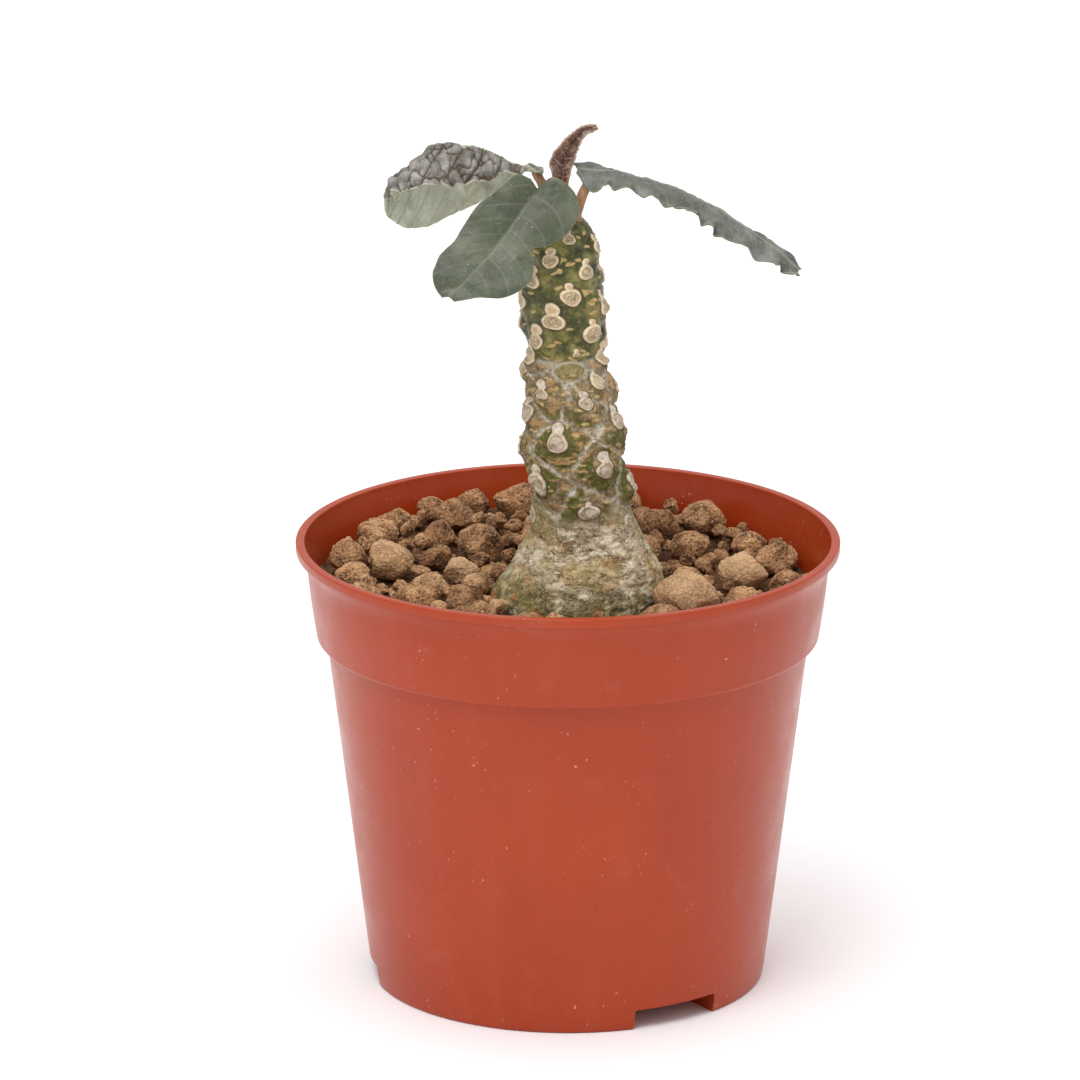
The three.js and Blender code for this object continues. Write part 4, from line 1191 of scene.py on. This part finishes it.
def stalkTube(route, startSize, endSize):             # a petiole, thicker where it leaves the stem
    rows, sides = stalk["rows"], stalk["sides"]
    line = throughPoints(route, rows)
    heading = np.gradient(line, axis=0)
    heading /= np.linalg.norm(heading, axis=1, keepdims=True)
    sideways = np.cross(heading, (0.2, 0.9, 0.1))
    sideways /= np.linalg.norm(sideways, axis=1, keepdims=True)
    upward = np.cross(sideways, heading)
    turns = 2 * np.pi * np.arange(sides) / sides
    share = np.linspace(0, 1, rows)
    size = startSize + (endSize - startSize) * share ** 0.7 + 0.35 * startSize * np.exp(-(share / 0.12) ** 2)
    ring = (np.cos(turns)[None, :, None] * sideways[:, None, :]
            + np.sin(turns)[None, :, None] * upward[:, None, :] * stalk["flatten"]) * size[:, None, None]
    points = line[:, None, :] + ring
    points += ring * 0.12 * softNoise(points, 1.1, 5)[..., None]
    return np.vstack([points.reshape(-1, 3), line[:1], line[-1:]]), closedTube(rows, sides)


def bladeLook(leaf):
    finish = {**plainFinish, **leaf["finish"]}
    material, tree, shader, place = newMaterial(finish["skin"])
    toVein, toMidrib, net, mesh = marksOf(tree, "vein", "midrib", "net", "mesh")
    margin, upper, pillow, along = marksOf(tree, "margin", "upper", "pillow", "along")
    broad = grain(tree, place, finish["patch"], 4, 0.55)
    fine = grain(tree, place, 0.8, 4, 0.6)
    top = shades(tree, broad, (0.3, 0.5, 0.72), finish["top"])
    top = wash(tree, band(tree, fine, 0.5, 0.75, 0, 0.35), top, finish["top"][2])
    # the hollow colour fills the sunk lines between the puffs; the left leaf's dark one is partly painted
    # shade
    if finish["hollow"]:
        sunk = band(tree, pillow, finish["hollowWidth"], 0.03, 0, finish["hollowShare"])
        top = wash(tree, sunk, top, finish["hollow"])
    share, wide = finish["veinShare"], finish["veinWidth"]
    veins = band(tree, toVein, wide * 1.6, wide * 0.4, 0, share)
    spine = band(tree, toMidrib, wide * 2.2, wide * 0.8, 0, min(1, share * 1.6))
    netting = band(tree, net, wide * 0.9, wide * 0.2, 0, share * finish["netShare"])
    lines = sums(tree, "MAXIMUM", sums(tree, "MAXIMUM", veins, spine), netting)
    top = wash(tree, lines, top, finish["vein"])
    top = wash(tree, band(tree, margin, finish["rim"], 0.05, 0, finish["rimShare"]), top, finish["rimColour"])
    white = grain(tree, place, finish["speckSize"], 1, 0.3)
    top = wash(tree, band(tree, white, 0.735, 0.77, 0, finish["specks"]), top, finish["speck"])
    under = finish["under"]
    shadow, light = [c * 0.88 for c in under], [min(255, c * 1.1) for c in under]
    below = shades(tree, broad, (0.3, 0.65), (shadow, under))
    below = wash(tree, band(tree, fine, 0.45, 0.7, 0, 0.25), below, light)
    underSpine = band(tree, toMidrib, 0.9, 0.3, 0, 0.75)
    strong = sums(tree, "MAXIMUM", band(tree, toVein, 0.55, 0.12, 0, 0.6), underSpine)
    weak = times(tree, band(tree, net, 0.3, 0.05), 0.35)
    below = wash(tree, sums(tree, "MAXIMUM", strong, weak), below, finish["underVein"])
    colour = blendColours(tree, upper, below, top)
    if finish["base"]:
        colour = wash(tree, band(tree, along, 0.30, 0.08, 0, 0.85), colour, finish["base"])
    gloss = finish["gloss"]
    wire(tree, shader, colour=colour, roughness=band(tree, fine, 0.3, 0.7, gloss, gloss + 0.15))
    shader.inputs["Specular IOR Level"].default_value = finish["specular"]
    shader.inputs["Subsurface Weight"].default_value = 0.08
    shader.inputs["Subsurface Radius"].default_value = (0.0009, 0.0012, 0.0005)
    shader.inputs["Subsurface Scale"].default_value = 1.0
    relief = times(tree, band(tree, mesh, 0.0, 0.25), finish["meshBump"])
    relief = sums(tree, "ADD", relief, times(tree, fine, 0.5))
    raised(tree, shader, relief, 0.12, 0.6)
    return material


def petioleLook():
    material, tree, shader, place = newMaterial("petiole_skin")
    streak = grain(tree, place, 1.1, 4, 0.6, (1, 1, 0.25))
    fine = grain(tree, place, 0.4, 2)
    colour = shades(tree, streak, (0.3, 0.5, 0.72), stalk["colours"])
    colour = wash(tree, band(tree, fine, 0.6, 0.8, 0, 0.5), colour, stalk["worn"])
    wire(tree, shader, colour=colour, roughness=0.6)
    raised(tree, shader, fine, 0.08, 0.6)
    return material


def makeLeaf(leaf, stalkLook):
    skin, faces, marks = leafSolid(leaf)
    petiole, petioleFaces = stalkTube(leaf["petiole"], *leaf["petioleSize"])
    start = len(skin)
    points = np.vstack([skin, petiole]) + growingTip
    allFaces = faces.tolist() + [[corner + start for corner in face] for face in petioleFaces]
    slots = [0] * len(faces) + [1] * len(petioleFaces)
    marks = {key: np.concatenate([values, np.zeros(len(petiole))]) for key, values in marks.items()}
    makePiece(leaf["piece"], points, allFaces, [bladeLook(leaf), stalkLook], [leaf["node"]],
              faceSlots=slots, marks=marks)
    print("leaf made:", leaf["piece"])


stalkLook = petioleLook()
for leaf in (leafFront, leafLeft, leafRight, leafYoung):
    makeLeaf(leaf, stalkLook)

print("all pieces made")
